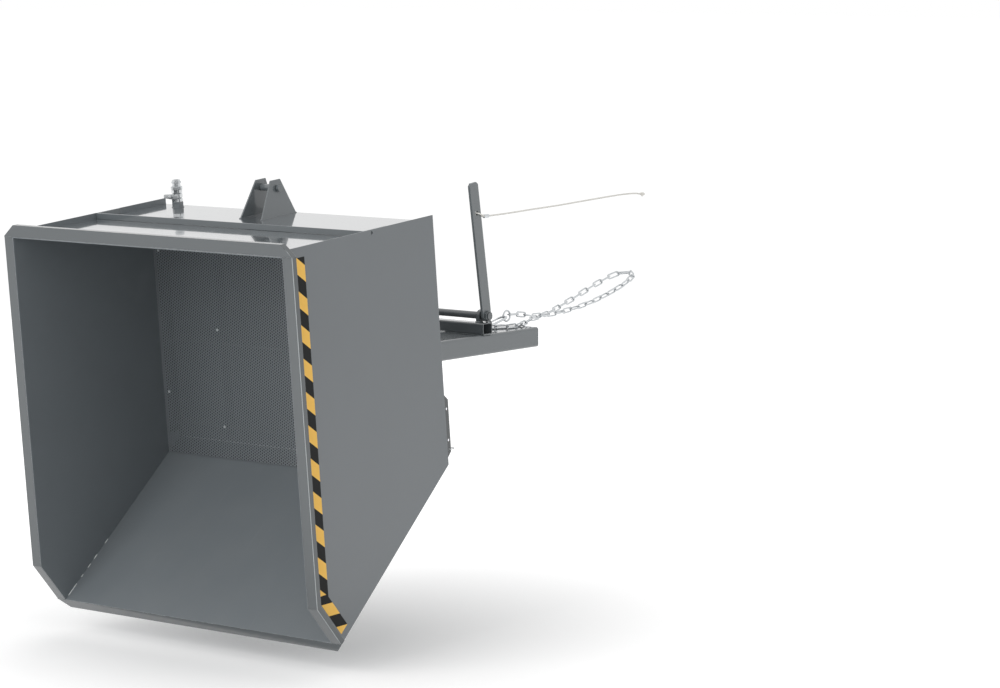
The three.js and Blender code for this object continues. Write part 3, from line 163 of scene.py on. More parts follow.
class Graph:
    """A node tree with short calls for adding and joining nodes."""

    # Sockets of a Mix node that mixes colours.
    MIX_SHARE, MIX_LOW, MIX_HIGH, MIX_RESULT = 0, 6, 7, 2

    def __init__(self, tree: bpy.types.NodeTree) -> None:
        """Keeps the tree that the nodes go into."""
        self.tree = tree

    @classmethod
    def of(cls, owner: bpy.types.Material | bpy.types.World) -> Graph:
        """The emptied graph of a material or a world.

        Args:
            owner: The material or the world.

        Returns:
            Its graph.
        """
        owner.use_nodes = True
        owner.node_tree.nodes.clear()
        return cls(owner.node_tree)

    def add(self, kind: str, inputs: dict[str, object] | None = None, **settings: object) -> bpy.types.Node:
        """Adds a node.

        Args:
            kind: The node's type, without its ShaderNode prefix.
            inputs: Input values or sockets by the name of the input.
            **settings: The node's own settings.

        Returns:
            The new node.
        """
        node = self.tree.nodes.new(kind if kind.startswith("Node") else f"ShaderNode{kind}")
        for name, value in settings.items():
            setattr(node, name, value)
        for name, value in (inputs or {}).items():
            self.feed(node, name, value)
        return node

    def feed(self, node: bpy.types.Node, name: str | int, value: object) -> None:
        """Sets an input to a value, or joins it to a socket.

        Args:
            node: The node.
            name: The input's name or number.
            value: The value or the socket.
        """
        if isinstance(value, bpy.types.NodeSocket):
            self.tree.links.new(value, node.inputs[name])
        else:
            node.inputs[name].default_value = value

    def fill(self, node: bpy.types.Node, values: Sequence[object]) -> bpy.types.Node:
        """Feeds a node's inputs in order.

        Args:
            node: The node.
            values: Values or sockets.

        Returns:
            The node.
        """
        for index, value in enumerate(values):
            self.feed(node, index, value)
        return node

    def math(self, operation: str, *values: object, clamp: bool = False) -> bpy.types.NodeSocket:
        """The result of a Math node on values or sockets, held between zero and one if asked."""
        return self.fill(self.add("Math", operation=operation, use_clamp=clamp), values).outputs[0]

    def vector(self, operation: str, *values: object, output: str = "Vector") -> bpy.types.NodeSocket:
        """The named result of a Vector Math node on values or sockets."""
        return self.fill(self.add("VectorMath", operation=operation), values).outputs[output]

    def mix(self, share: object, low: object, high: object) -> bpy.types.NodeSocket:
        """A colour between two others.

        Args:
            share: The share of the second.
            low: The first colour.
            high: The second colour.

        Returns:
            The mixed colour's socket.
        """
        node = self.add("Mix", data_type="RGBA")
        for index, value in ((self.MIX_SHARE, share), (self.MIX_LOW, low), (self.MIX_HIGH, high)):
            self.feed(node, index, value)
        return node.outputs[self.MIX_RESULT]

    def ramp(self, value: object, low: float, high: float, to_low: float = 0.0,
             to_high: float = 1.0) -> bpy.types.NodeSocket:
        """A value mapped from one range to another and held within it.

        Args:
            value: The value or its socket.
            low: Where the first range starts.
            high: Where the first range ends.
            to_low: Where the second range starts.
            to_high: Where the second range ends.

        Returns:
            The mapped value's socket.
        """
        node = self.add("MapRange", {"From Min": low, "From Max": high, "To Min": to_low, "To Max": to_high})
        self.feed(node, "Value", value)
        return node.outputs[0]

    def noise(self, scale: object, **inputs: object) -> bpy.types.NodeSocket:
        """The value of a cloudy noise in the model's own coordinates.

        Args:
            scale: Its scale, or the socket that gives it.
            **inputs: Other inputs of the Noise Texture, or a Vector of their own.

        Returns:
            The noise's socket.
        """
        given = {"Vector": inputs.pop("Vector", None) or self.place(), "Scale": scale, **inputs}
        return self.add("TexNoise", given).outputs[0]

    def place(self) -> bpy.types.NodeSocket:
        """The Object coordinates, in metres in the model's frame."""
        return self.add("TexCoord").outputs["Object"]


class Effect:
    """A surface effect that several finishes share: a node group with named inputs and outputs."""

    def __init__(self, name: str, inputs: dict[str, float], output: str) -> None:
        """Makes an empty group.

        Args:
            name: The group's name.
            inputs: The default value of each input by its name.
            output: The name of the value that it puts out.
        """
        self.tree = bpy.data.node_groups.new(name, "ShaderNodeTree")
        self.output = output
        for label, value in inputs.items():
            socket = self.tree.interface.new_socket(label, in_out="INPUT", socket_type="NodeSocketFloat")
            socket.default_value = value
        self.tree.interface.new_socket(output, in_out="OUTPUT", socket_type="NodeSocketFloat")
        self.graph = Graph(self.tree)
        self.source = self.graph.add("NodeGroupInput")
        self.sink = self.graph.add("NodeGroupOutput")

    def given(self, name: str) -> bpy.types.NodeSocket:
        """The socket of an input, inside the group."""
        return self.source.outputs[name]

    def give(self, value: bpy.types.NodeSocket) -> Effect:
        """Joins the result to the output, which finishes the group."""
        self.graph.feed(self.sink, self.output, value)
        return self

    def give_share(self, *masks: bpy.types.NodeSocket) -> Effect:
        """Finishes the group with the product of its masks and its Amount.

        Args:
            *masks: The masks.

        Returns:
            The finished effect.
        """
        product = masks[0]
        for factor in (*masks[1:], self.given("Amount")):
            product = self.graph.math("MULTIPLY", product, factor)
        return self.give(product)

    def use(self, graph: Graph, **values: object) -> bpy.types.NodeSocket:
        """Places the group in a material.

        Args:
            graph: The material's graph.
            **values: Values or sockets by the input's name.

        Returns:
            The output's socket.
        """
        return graph.add("Group", values, node_tree=self.tree).outputs[self.output]


class Effects:
    """The shared effects, each built once.

    A band is the two levels of a noise or a cosine that a value rises between.
    """

    drift_band: Band = (0.25, 0.75)
    drift_roughness: float = 0.6
    corner_band: Band = (0.99, 0.85)
    fleck_band: Band = (0.42, 0.62)
    fleck_detail: float = 5.0
    upward_band: Band = (0.2, 0.95)
    dust_band: Band = (0.35, 0.75)
    dust_detail: float = 6.0
    scratch_band: Band = (0.64, 0.72)
    scratch_detail: float = 3.0
    scratch_stretch: Point = (0.12, 4.0, 0.12)
    peel_detail: float = 1.5
    bevel_samples: int = 6

    def __init__(self) -> None:
        """Builds every group."""
        self.drift = self._tone_drift()
        self.wear = self._edge_wear()
        self.peel = self._orange_peel()
        self.dust = self._settled_dust()
        self.scratches = self._fine_scratches()

    def _tone_drift(self) -> Effect:
        """Slow change of tone over a surface, from 0 to 1 about a half.

        Returns:
            The effect, with the noise's Scale and Detail for inputs.
        """
        effect = Effect("tone_drift", {"Scale": 2.0, "Detail": 3.0}, "Value")
        graph = effect.graph
        scale, detail = effect.given("Scale"), effect.given("Detail")
        cloud = graph.noise(scale, Detail=detail, Roughness=self.drift_roughness)
        return effect.give(graph.ramp(cloud, *self.drift_band))

    def _edge_wear(self) -> Effect:
        """Mask of corners and edges, broken up by a fine noise.

        Returns:
            The effect, with the edge's Radius, an Amount and the noise's Scale for inputs.
        """
        effect = Effect("edge_wear", {"Radius": 0.002, "Amount": 0.5, "Scale": 60.0}, "Mask")
        graph = effect.graph
        bevel = graph.add("Bevel", {"Radius": effect.given("Radius")}, samples=self.bevel_samples)
        normal = graph.add("NewGeometry").outputs["Normal"]
        facing = graph.vector("DOT_PRODUCT", normal, bevel.outputs[0], output="Value")
        flecks = graph.noise(effect.given("Scale"), Detail=self.fleck_detail)
        return effect.give_share(graph.ramp(facing, *self.corner_band), graph.ramp(flecks, *self.fleck_band))

    def _orange_peel(self) -> Effect:
        """Height of the slight waviness of sprayed paint.

        Returns:
            The effect, with the noise's Scale for an input.
        """
        effect = Effect("orange_peel", {"Scale": 220.0}, "Height")
        return effect.give(effect.graph.noise(effect.given("Scale"), Detail=self.peel_detail))

    def _settled_dust(self) -> Effect:
        """Mask of dust on what faces up.

        Returns:
            The effect, with an Amount and the noise's Scale for inputs.
        """
        effect = Effect("settled_dust", {"Amount": 0.1, "Scale": 7.0}, "Mask")
        graph = effect.graph
        normal = graph.add("SeparateXYZ", {"Vector": graph.add("NewGeometry").outputs["Normal"]})
        upward = graph.ramp(normal.outputs["Z"], *self.upward_band)
        cloud = graph.noise(effect.given("Scale"), Detail=self.dust_detail)
        return effect.give_share(upward, graph.ramp(cloud, *self.dust_band))

    def _fine_scratches(self) -> Effect:
        """Mask of long thin scratches, from a noise stretched along the way the load slides.

        Returns:
            The effect, with an Amount and the noise's Scale for inputs.
        """
        effect = Effect("fine_scratches", {"Amount": 0.2, "Scale": 30.0}, "Mask")
        graph = effect.graph
        stretched = graph.add("Mapping", {"Vector": graph.place(), "Scale": self.scratch_stretch})
        streaks = graph.noise(effect.given("Scale"), Vector=stretched.outputs[0], Detail=self.scratch_detail)
        return effect.give_share(graph.ramp(streaks, *self.scratch_band))


@dataclass(frozen=True)
class Relief:
    """A surface's fine relief: the scale of its noise, its strength, and its depth in millimetres."""

    scale: float
    strength: float
    depth: float

    def lay(self, graph: Graph, surface: bpy.types.Node, effects: Effects) -> None:
        """Bumps a surface shader.

        Args:
            graph: The material's graph.
            surface: Its Principled shader.
            effects: The shared effects.
        """
        height = effects.peel.use(graph, Scale=self.scale)
        bump = graph.add("Bump", {"Height": height, "Strength": self.strength, "Distance": self.depth * MM})
        graph.feed(surface, "Normal", bump.outputs[0])


@dataclass(frozen=True)
class Finish:
    """What every finish has: a name, a word for pieces that wear it, and the record's slot."""

    name: str
    word: str
    slot: Slot | None

    def start(self) -> tuple[bpy.types.Material, Graph, bpy.types.Node]:
        """A new material with a bare surface.

        Returns:
            The material, its graph and its Principled shader.
        """
        material = bpy.data.materials.new(self.name)
        graph = Graph.of(material)
        surface = graph.add("BsdfPrincipled")
        graph.add("OutputMaterial", {"Surface": surface.outputs[0]})
        return material, graph, surface


@dataclass(frozen=True)
class Paint(Finish):
    """Sprayed paint with a clear gloss on top, worn to a lighter tone along its edges."""

    colour: str = "6f7579"
    light: str = "8d9295"
    dust_colour: str = "a9a59c"
    gloss: float = 1.0
    gloss_roughness: float = 0.05
    roughness: float = 0.42
    index: float = 1.5
    drift: float = 0.06
    wear: float = 0.5
    dust: float = 0.05
    scratches: float = 0.0
    slow_scale: float = 1.7
    slow_share: float = 0.7
    fine_scale: float = 24.0
    fine_detail: float = 6.0
    clouding: float = 0.08
    dust_dulling: float = 0.5
    relief: Relief = Relief(220.0, 0.02, 1.0)

    def make(self, effects: Effects) -> bpy.types.Material:
        """Builds the paint's material.

        Args:
            effects: The shared effects.

        Returns:
            The material.
        """
        material, graph, surface = self.start()
        slow = effects.drift.use(graph, Scale=self.slow_scale)
        fine = effects.drift.use(graph, Scale=self.fine_scale, Detail=self.fine_detail)
        settled = effects.dust.use(graph, Amount=self.dust)
        slow_part = graph.math("MULTIPLY", slow, self.slow_share)
        fine_part = graph.math("MULTIPLY", fine, 1 - self.slow_share)
        both_parts = graph.math("ADD", slow_part, fine_part)
        tone = graph.vector("SCALE", linear(self.colour)[:3])
        shade = graph.ramp(both_parts, 0.0, 1.0, 1 - self.drift, 1 + self.drift)
        graph.feed(tone.node, "Scale", shade)
        tone = graph.mix(effects.wear.use(graph, Amount=self.wear), tone, linear(self.light))
        tone = graph.mix(effects.scratches.use(graph, Amount=self.scratches), tone, linear(self.light))
        graph.feed(surface, "Base Color", graph.mix(settled, tone, linear(self.dust_colour)))
        clouds = graph.math("MULTIPLY", fine, self.clouding)
        clouded = graph.math("ADD", clouds, self.roughness - self.clouding / 2)
        dusty = graph.math("MULTIPLY", settled, self.dust_dulling)
        graph.feed(surface, "Roughness", graph.math("ADD", clouded, dusty, clamp=True))
        surface.inputs["IOR"].default_value = self.index
        surface.inputs["Coat Weight"].default_value = self.gloss
        surface.inputs["Coat Roughness"].default_value = self.gloss_roughness
        self.relief.lay(graph, surface, effects)
        return material


@dataclass(frozen=True)
class PerforatedPaint(Paint):
    """The strainer's paint: a sheet punched with round holes in staggered rows, tipped with the skip."""

    pitch: float = 10.0
    hole: float = 6.8
    tip: float = TIPPED
    # How soft the holes' edges are; the painted shade round each hole spreads twice as far.
    hole_edge: float = 0.4
    hole_edge_shade: str = "1e2123"
    hole_edge_shade_share: float = 0.6

    def make(self, effects: Effects) -> bpy.types.Material:
        """Builds the paint, then cuts the holes and darkens a ring round each as painted shade.

        Args:
            effects: The shared effects.

        Returns:
            The material.
        """
        material = super().make(effects)
        graph = Graph(material.node_tree)
        surface = next(n for n in material.node_tree.nodes if n.type == "BSDF_PRINCIPLED")
        upright = (0.0, -math.radians(self.tip), 0.0)
        level = graph.add("Mapping", {"Vector": graph.place(), "Rotation": upright})
        rows = (self.pitch * MM, self.pitch * math.sqrt(3) * MM, 1.0)
        cells = graph.vector("DIVIDE", level.outputs[0], rows)
        distance = graph.math("MINIMUM", *(self._to_hole(graph, cells, rows, shift) for shift in (0.0, 0.5)))
        radius, hole_edge = self.hole / 2 * MM, self.hole_edge * MM
        graph.feed(surface, "Alpha", graph.ramp(distance, radius - hole_edge / 4, radius + hole_edge / 4))
        painted = surface.inputs["Base Color"].links[0].from_socket
        # A dark ring round each hole: painted shade where the hole's wall falls away.
        edge = graph.ramp(distance, radius + 2 * hole_edge, radius, 0.0, self.hole_edge_shade_share)
        graph.feed(surface, "Base Color", graph.mix(edge, painted, linear(self.hole_edge_shade)))
        return material

    @staticmethod
    def _to_hole(graph: Graph, cells: bpy.types.NodeSocket, rows: Point,
                 shift: float) -> bpy.types.NodeSocket:
        """The distance to the nearest hole of one of the two interleaved sets of rows.

        Args:
            graph: The material's graph.
            cells: The place, counted in cells.
            rows: The size of a cell, in metres.
            shift: How far the set is shifted, in cells.

        Returns:
            The distance's socket, in metres.
        """
        moved = graph.vector("ADD", cells, (shift, shift, 0.0))
        within = graph.vector("SUBTRACT", graph.vector("FRACTION", moved), (0.5, 0.5, 0.0))
        flat = graph.vector("MULTIPLY", within, (rows[0], rows[1], 0.0))
        return graph.vector("LENGTH", flat, output="Value")


@dataclass(frozen=True)
class Metal(Finish):
    """Bare or plated metal with a cloudy lustre, darker and duller in random patches."""

    colour: str = "c3c6c8"
    dull: str = "8c8f91"
    dull_share: float = 0.45
    roughness: float = 0.3
    roughness_shares: tuple[float, float] = (0.8, 1.35)
    cloud: float = 90.0
    cloud_detail: float = 4.0
    wear: float = 0.6
    wear_radius: float = 1.0
    relief: Relief = Relief(700.0, 0.06, 0.5)

    def make(self, effects: Effects) -> bpy.types.Material:
        """Builds the metal's material.

        Args:
            effects: The shared effects.

        Returns:
            The material.
        """
        material, graph, surface = self.start()
        tone = effects.drift.use(graph, Scale=self.cloud, Detail=self.cloud_detail)
        edge = effects.wear.use(graph, Amount=self.wear, Radius=self.wear_radius * MM)
        share = graph.math("MULTIPLY", tone, self.dull_share)
        dulled = graph.mix(share, linear(self.colour), linear(self.dull))
        graph.feed(surface, "Base Color", graph.mix(edge, dulled, linear(self.colour)))
        surface.inputs["Metallic"].default_value = 1.0
        low, high = (self.roughness * share for share in self.roughness_shares)
        graph.feed(surface, "Roughness", graph.ramp(tone, 0.0, 1.0, low, high))
        self.relief.lay(graph, surface, effects)
        return material


@dataclass(frozen=True)
class Matt(Finish):
    """A matt material, such as rubber or cord, with a fine grain."""

    colour: str = "1b1c1d"
    pale: str = "3a3b3b"
    pale_share: float = 0.35
    roughness: float = 0.8
    roughness_drift: float = 0.08
    speckle: float = 40.0
    speckle_detail: float = 6.0
    wear: float = 0.4
    relief: Relief = Relief(900.0, 0.3, 0.4)

    def make(self, effects: Effects) -> bpy.types.Material:
        """Builds the matt material.

        Args:
            effects: The shared effects.

        Returns:
            The material.
        """
        material, graph, surface = self.start()
        tone = effects.drift.use(graph, Scale=self.speckle, Detail=self.speckle_detail)
        edge = effects.wear.use(graph, Amount=self.wear)
        share = graph.math("MULTIPLY", tone, self.pale_share)
        varied = graph.mix(share, linear(self.colour), linear(self.pale))
        graph.feed(surface, "Base Color", graph.mix(edge, varied, linear(self.pale)))
        low, high = self.roughness - self.roughness_drift, self.roughness + self.roughness_drift
        graph.feed(surface, "Roughness", graph.ramp(tone, 0.0, 1.0, low, high))
        self.relief.lay(graph, surface, effects)
        return material


@dataclass(frozen=True)
class HazardTape(Finish):
    """Adhesive tape with slanting yellow and black stripes, read from the strip's own UV map."""

    yellow: str = "ffcc66"
    faded: str = "e6ad55"
    black: str = "0e0f0f"
    period: float = 107.5
    slant: float = 0.8
    stripe_blur: float = 0.003
    sheen: float = 0.2
    fade_share: float = 0.15
    fade_scale: float = 35.0
    fade_detail: float = 5.0
    roughness: tuple[float, float] = (0.38, 0.5)
    relief: Relief = Relief(400.0, 0.05, 0.5)

    def make(self, effects: Effects) -> bpy.types.Material:
        """Builds the stripes along the strip's run.

        Args:
            effects: The shared effects.

        Returns:
            The material.
        """
        material, graph, surface = self.start()
        run = graph.add("SeparateXYZ", {"Vector": graph.add("UVMap", uv_map=EdgeTape.uv_map).outputs[0]})
        lean = graph.math("MULTIPLY", run.outputs["Y"], self.slant)
        stripes = graph.math("DIVIDE", graph.math("SUBTRACT", run.outputs["X"], lean), self.period * MM)
        # A wave that rises and falls once a period, and is over a quarter in its first, yellow half.
        wave = graph.math("PINGPONG", graph.math("ADD", graph.math("FRACT", stripes), 0.25), 0.5)
        yellow = graph.ramp(wave, 0.25 - self.stripe_blur, 0.25 + self.stripe_blur)
        tone = effects.drift.use(graph, Scale=self.fade_scale, Detail=self.fade_detail)
        share = graph.math("MULTIPLY", tone, self.fade_share)
        faded = graph.mix(share, linear(self.yellow), linear(self.faded))
        graph.feed(surface, "Base Color", graph.mix(yellow, linear(self.black), faded))
        graph.feed(surface, "Roughness", graph.ramp(tone, 0.0, 1.0, *self.roughness))
        surface.inputs["Specular IOR Level"].default_value = self.sheen
        self.relief.lay(graph, surface, effects)
        return material


class Coat(Enum):
    """The finishes of the hopper and its frame."""

    HOPPER = Paint("hopper_grey_paint", "painted", Slot.HOPPER, colour="60666a")
    # A lighter copy of the hopper paint on the back wall, which faces up at rest: real gloss, and painted
    # light on top.
    REAR = Paint("rear_gloss_and_painted_light", "painted", Slot.HOPPER, colour="6a7074", gloss_roughness=0.03,
                 roughness=0.12, index=2.4, dust=0.0)
    # Near-black painted shade for the sump under the strainer, seen through its holes, and for the strainer's
    # frame.
    SUMP_SHADE = Paint("sump_painted_shade", "painted", Slot.INNER, colour="1b1e20", light="3a3e40", gloss=0.1,
                 roughness=0.6)
    INNER = Paint("inner_grey_paint", "painted", Slot.INNER, colour="70767a", gloss=0.35,
                  gloss_roughness=0.3, roughness=0.5, scratches=0.12, wear=0.3)
    # Near-white painted highlight for the sparkling tacks inside the front wall.
    WELD_HIGHLIGHT = Paint("weld_painted_highlight", "painted", Slot.INNER, colour="f0f2f3", light="f6f7f8")
    # Pale painted highlight for the line along the rim's outer bend.
    FOLD_HIGHLIGHT = Paint("fold_painted_highlight", "painted", Slot.RIM, colour="a4aaac", light="c4c9cb")
    # Its pale, heavy edge wear is partly wear and partly a painted highlight along the rim's edges.
    RIM = Paint("rim_grey_paint", "painted", Slot.RIM, colour="444a4d", light="c4c9cb", wear=0.9)
    FRAME = Paint("frame_grey_paint", "painted", Slot.FRAME, colour="656b6e")
    # A darker copy of the frame paint, as painted shade on the cross tube and the latch.
    SHADED = Paint("frame_painted_shade", "painted", Slot.FRAME, colour="565b5e")
    # A near-black copy of the frame paint, as painted shade on the skids under the floor.
    SKID = Paint("skid_painted_shade", "painted", Slot.FRAME, colour="2d3336", light="6f7679")
    STRAINER = PerforatedPaint("strainer_grey_paint", "punched", Slot.INNER, colour="7b8185", gloss=0.3,
                               gloss_roughness=0.3, roughness=0.5, wear=0.0)
    ZINC = Metal("bright_zinc_plating", "plated", Slot.ZINC, colour="d5d8da", dull="a5a8aa")
    CHROME = Metal("polished_nickel_plating", "polished", Slot.CHROME, colour="dcdedf", dull="b4b6b8",
                   roughness=0.14)
    HANDLE = Metal("satin_pressed_steel", "pressed", Slot.HANDLE, colour="c9cccd")
    BRONZE = Metal("bearing_bronze", "turned", Slot.BRONZE, colour="b08b4f", dull="7c5f35", roughness=0.35)
    RUBBER = Matt("moulded_black_rubber", "moulded", Slot.RUBBER)
    ROPE = Matt("laid_white_cord", "laid", Slot.ROPE, colour="f0eee8", pale="faf9f5", roughness=0.85,
                relief=Relief(900.0, 0.5, 0.4))
    TAPE = HazardTape("hazard_stripe_tape", "taped", None)


@dataclass(frozen=True)
class Edge:
    """How a piece's edges are rounded: cut edges narrowly, and folds between wide faces more."""

    width: float = 0.8
    segments: int = 2
    fold: float = 0.0
    fold_segments: int = 4
    sharp: float = 33.0
    wide: float = 8.0


@dataclass(frozen=True)
class Dressing:
    """Nodes whose shape is right, and what they get: a finish and rounded edges."""

    nodes: tuple[str, ...]
    coat: Coat
    edge: Edge
    body: Body = Body.HOPPER


@dataclass(frozen=True)
class Bar:
    """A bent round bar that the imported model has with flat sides."""

    node: str
    sides: int
    radius: float
    coat: Coat = Coat.ZINC
    body: Body = Body.FRAME


class Workshop:
    """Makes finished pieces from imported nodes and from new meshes.

    Faces within flat_angle of each other become one. On a bar, triangles become quads where their
    faces lie within join_angle and their corners within join_shape.
    """

    flat_angle: float = 0.6
    join_angle: float = 50.0
    join_shape: float = 60.0
    smooth_levels: int = 2
    flat_weight: int = 80

    def __init__(self, frame: dict) -> None:
        """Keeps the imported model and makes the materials.
        """
        self.frame = frame
        effects = Effects()
        self.materials = {coat: coat.value.make(effects) for coat in Coat}

    def corners(self, node: str) -> list[Vector]:
        """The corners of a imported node, in metres."""
        return [vert.co for vert in self.frame["nodes"][node].data.vertices]

    def merged(self, node: str) -> bmesh.types.BMesh:
        """A copy of a node's mesh with its doubles merged.

        Args:
            node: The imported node.

        Returns:
            A new bmesh in the model's frame.
        """
        mesh = bmesh.new()
        mesh.from_mesh(self.frame["nodes"][node].data)
        bmesh.ops.remove_doubles(mesh, verts=mesh.verts[:], dist=MERGE)
        return mesh

    def copy(self, node: str) -> bmesh.types.BMesh:
        """A merged copy of a node's mesh with its flat faces whole.

        Args:
            node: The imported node.

        Returns:
            A new bmesh in the model's frame.
        """
        mesh = self.merged(node)
        bmesh.ops.dissolve_limit(mesh, angle_limit=math.radians(self.flat_angle), verts=mesh.verts[:],
                                 edges=mesh.edges[:], use_dissolve_boundaries=False, delimit=set())
        return mesh

    @staticmethod
    def round_edges(mesh: bmesh.types.BMesh, edge: Edge) -> None:
        """Rounds the folds between wide faces, then every edge that is sharper than the rule says.

        Args:
            mesh: The mesh, which is changed.
            edge: The rule.
        """
        limit = math.radians(edge.sharp)

        def is_wide(face: bmesh.types.BMFace) -> bool:
            """Whether a face is more than the sheet's cut edge."""
            return face.calc_area() > edge.wide * MM * max(e.calc_length() for e in face.edges)

        def is_fold(line: bmesh.types.BMEdge) -> bool:
            """Whether an edge is the outside of a fold."""
            return line.is_convex and all(is_wide(face) for face in line.link_faces)

        passes = (edge.fold, edge.fold_segments, is_fold), (edge.width, edge.segments, None)
        for width, segments, rule in passes:
            sharp = [e for e in mesh.edges if e.is_manifold and e.calc_face_angle(0.0) > limit]
            chosen = [e for e in sharp if rule is None or rule(e)]
            if chosen and width > 0:
                bmesh.ops.bevel(mesh, geom=chosen, offset=width * MM, offset_type="OFFSET", segments=segments,
                                profile=0.5, affect="EDGES", clamp_overlap=True, material=-1)
                mesh.normal_update()

    def piece(self, name: str, mesh: bmesh.types.BMesh, body: Body, *coats: Coat,
              weighted: bool = True) -> bpy.types.Object:
        """Makes an object of a mesh and lets it ride on its body.

        Args:
            name: The piece's name.
            mesh: Its mesh, which is freed.
            body: The body it rides on.
            *coats: The finishes of its faces.
            weighted: Whether large faces keep flat shading beside rounded edges.

        Returns:
            The new object, at the origin.
        """
        data = bpy.data.meshes.new(name)
        for face in mesh.faces:
            face.smooth = True
        mesh.to_mesh(data)
        mesh.free()
        made = linked(name, data)
        for coat in coats:
            data.materials.append(self.materials[coat])
        if weighted:
            made.modifiers.new("flat_faces", "WEIGHTED_NORMAL").weight = self.flat_weight
        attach(made, body.value)
        return made

    def dress(self, node: str, body: Body, *coats: Coat, edge: Edge,
              inside: Callable[[bmesh.types.BMFace], int] | None = None,
              split: tuple[Vector, Vector] | None = None) -> bpy.types.Object:
        """Stands a finished copy in for a node.

        Args:
            node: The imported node.
            body: The body that it is part of.
            *coats: The outer finish, and the inner ones where it has more.
            edge: How its edges are rounded.
            inside: Gives the number of a face's finish, from 0 for the outer one.
            split: A place and a normal of a plane that its faces are cut along first.

        Returns:
            The finished piece.
        """
        mesh = self.copy(node)
        if split is not None:
            whole = mesh.verts[:] + mesh.edges[:] + mesh.faces[:]
            bmesh.ops.bisect_plane(mesh, geom=whole, plane_co=split[0], plane_no=split[1])
            mesh.normal_update()
        if inside is not None:
            for face in mesh.faces:
                face.material_index = inside(face)
        self.round_edges(mesh, edge)
        made = self.piece(f"{node}_{coats[0].value.word}", mesh, body, *coats)
        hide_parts(node)
        return made

    def dress_all(self, dressings: Sequence[Dressing]) -> None:
        """Stands a finished copy in for every node of a list.

        Args:
            dressings: The nodes with what they get.
        """
        for dressing in dressings:
            for node in dressing.nodes:
                self.dress(node, dressing.body, dressing.coat, edge=dressing.edge)

    def rounded(self, bar: Bar) -> bpy.types.Object:
        """Stands a smooth round bar in for one with flat sides.

        Args:
            bar: The bar.

        Returns:
            The finished piece.
        """
        mesh = self.merged(bar.node)
        bmesh.ops.join_triangles(mesh, faces=mesh.faces[:],
                                 angle_face_threshold=math.radians(self.join_angle),
                                 angle_shape_threshold=math.radians(self.join_shape))
        mesh.normal_update()
        # Subdividing a ring draws each corner in to (4 + 2 cos) / 6 of its radius,
        # so the corners go out first.
        drawn_in = (4 + 2 * math.cos(FULL_TURN / bar.sides)) / 6
        swell = bar.radius * MM * (1 / drawn_in - 1)
        for vert in mesh.verts:
            vert.co += vert.normal * swell
        made = self.piece(f"{bar.node}_{bar.coat.value.word}", mesh, bar.body, bar.coat, weighted=False)
        smooth = made.modifiers.new("round_bar", "SUBSURF")
        smooth.levels = self.smooth_levels
        smooth.render_levels = self.smooth_levels
        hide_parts(bar.node)
        return made


def tube_through(name: str, points: Sequence[Vector], radii: Sequence[float], sides: int = 8,
                 closed: bool = False, profile: bpy.types.Object | None = None,
                 tilts: Sequence[float] | None = None) -> bmesh.types.BMesh:
    """A round or shaped bar through points, made as a curve.

    Args:
        name: The curve's name.
        points: Its centres, in metres.
        radii: The radius at each, in metres, or a scale of the profile.
        sides: Sides of a round section.
        closed: Whether it closes on itself.
        profile: A closed curve that is its section, where it isn't round.
        tilts: The section's turn at each point.

    Returns:
        The bar as a bmesh, with its doubles merged and its faces pointing out.
    """
    data = bpy.data.curves.new(name, "CURVE")
    data.dimensions = "3D"
    data.twist_mode = "MINIMUM"
    data.use_fill_caps = not closed
    if profile is None:
        data.bevel_depth = 1.0
        data.bevel_resolution = max(0, sides // 2 - 2)
    else:
        data.bevel_mode = "OBJECT"
        data.bevel_object = profile
    spline = data.splines.new("POLY")
    spline.points.add(len(points) - 1)
    spline.use_cyclic_u = closed
    for index, (point, radius) in enumerate(zip(points, radii)):
        spline.points[index].co = (*point, 1.0)
        spline.points[index].radius = radius
        spline.points[index].tilt = tilts[index] if tilts else 0.0
    holder = linked(name, data)
    bpy.context.view_layer.update()
    mesh = bpy.data.meshes.new_from_object(holder.evaluated_get(bpy.context.evaluated_depsgraph_get()))
    bpy.data.objects.remove(holder)
    bpy.data.curves.remove(data)
    made = bmesh.new()
    made.from_mesh(mesh)
    bpy.data.meshes.remove(mesh)
    return cleaned(made)


def cleaned(mesh: bmesh.types.BMesh) -> bmesh.types.BMesh:
    """Merges a mesh's doubles and turns its faces out.

    Args:
        mesh: The mesh.

    Returns:
        The same mesh.
    """
    bmesh.ops.remove_doubles(mesh, verts=mesh.verts[:], dist=FINE_MERGE)
    bmesh.ops.recalc_face_normals(mesh, faces=mesh.faces[:])
    return mesh


def append(target: bmesh.types.BMesh, piece: bmesh.types.BMesh, place: Matrix | None = None) -> None:
    """Adds one bmesh to another.

    Args:
        target: The mesh that grows.
        piece: The mesh that is added, and freed.
        place: How it is moved first.
    """
    if place is not None:
        piece.transform(place)
    mesh = bpy.data.meshes.new("part")
    piece.to_mesh(mesh)
    piece.free()
    target.from_mesh(mesh)
    bpy.data.meshes.remove(mesh)


def lathe(profile: Sequence[tuple[float, float]], steps: int) -> bmesh.types.BMesh:
    """A turned piece about its own Z axis.

    Args:
        profile: Radius and height pairs, from one end on the axis to the other.
        steps: Facets round it.

    Returns:
        A closed bmesh.
    """
    made = bmesh.new()
    verts = [made.verts.new((radius * MM, 0.0, height * MM)) for radius, height in profile]
    edges = [made.edges.new(pair) for pair in zip(verts, verts[1:])]
    bmesh.ops.spin(made, geom=verts + edges, cent=(0, 0, 0), axis=(0, 0, 1), angle=FULL_TURN, steps=steps,
                   use_merge=True)
    return cleaned(made)


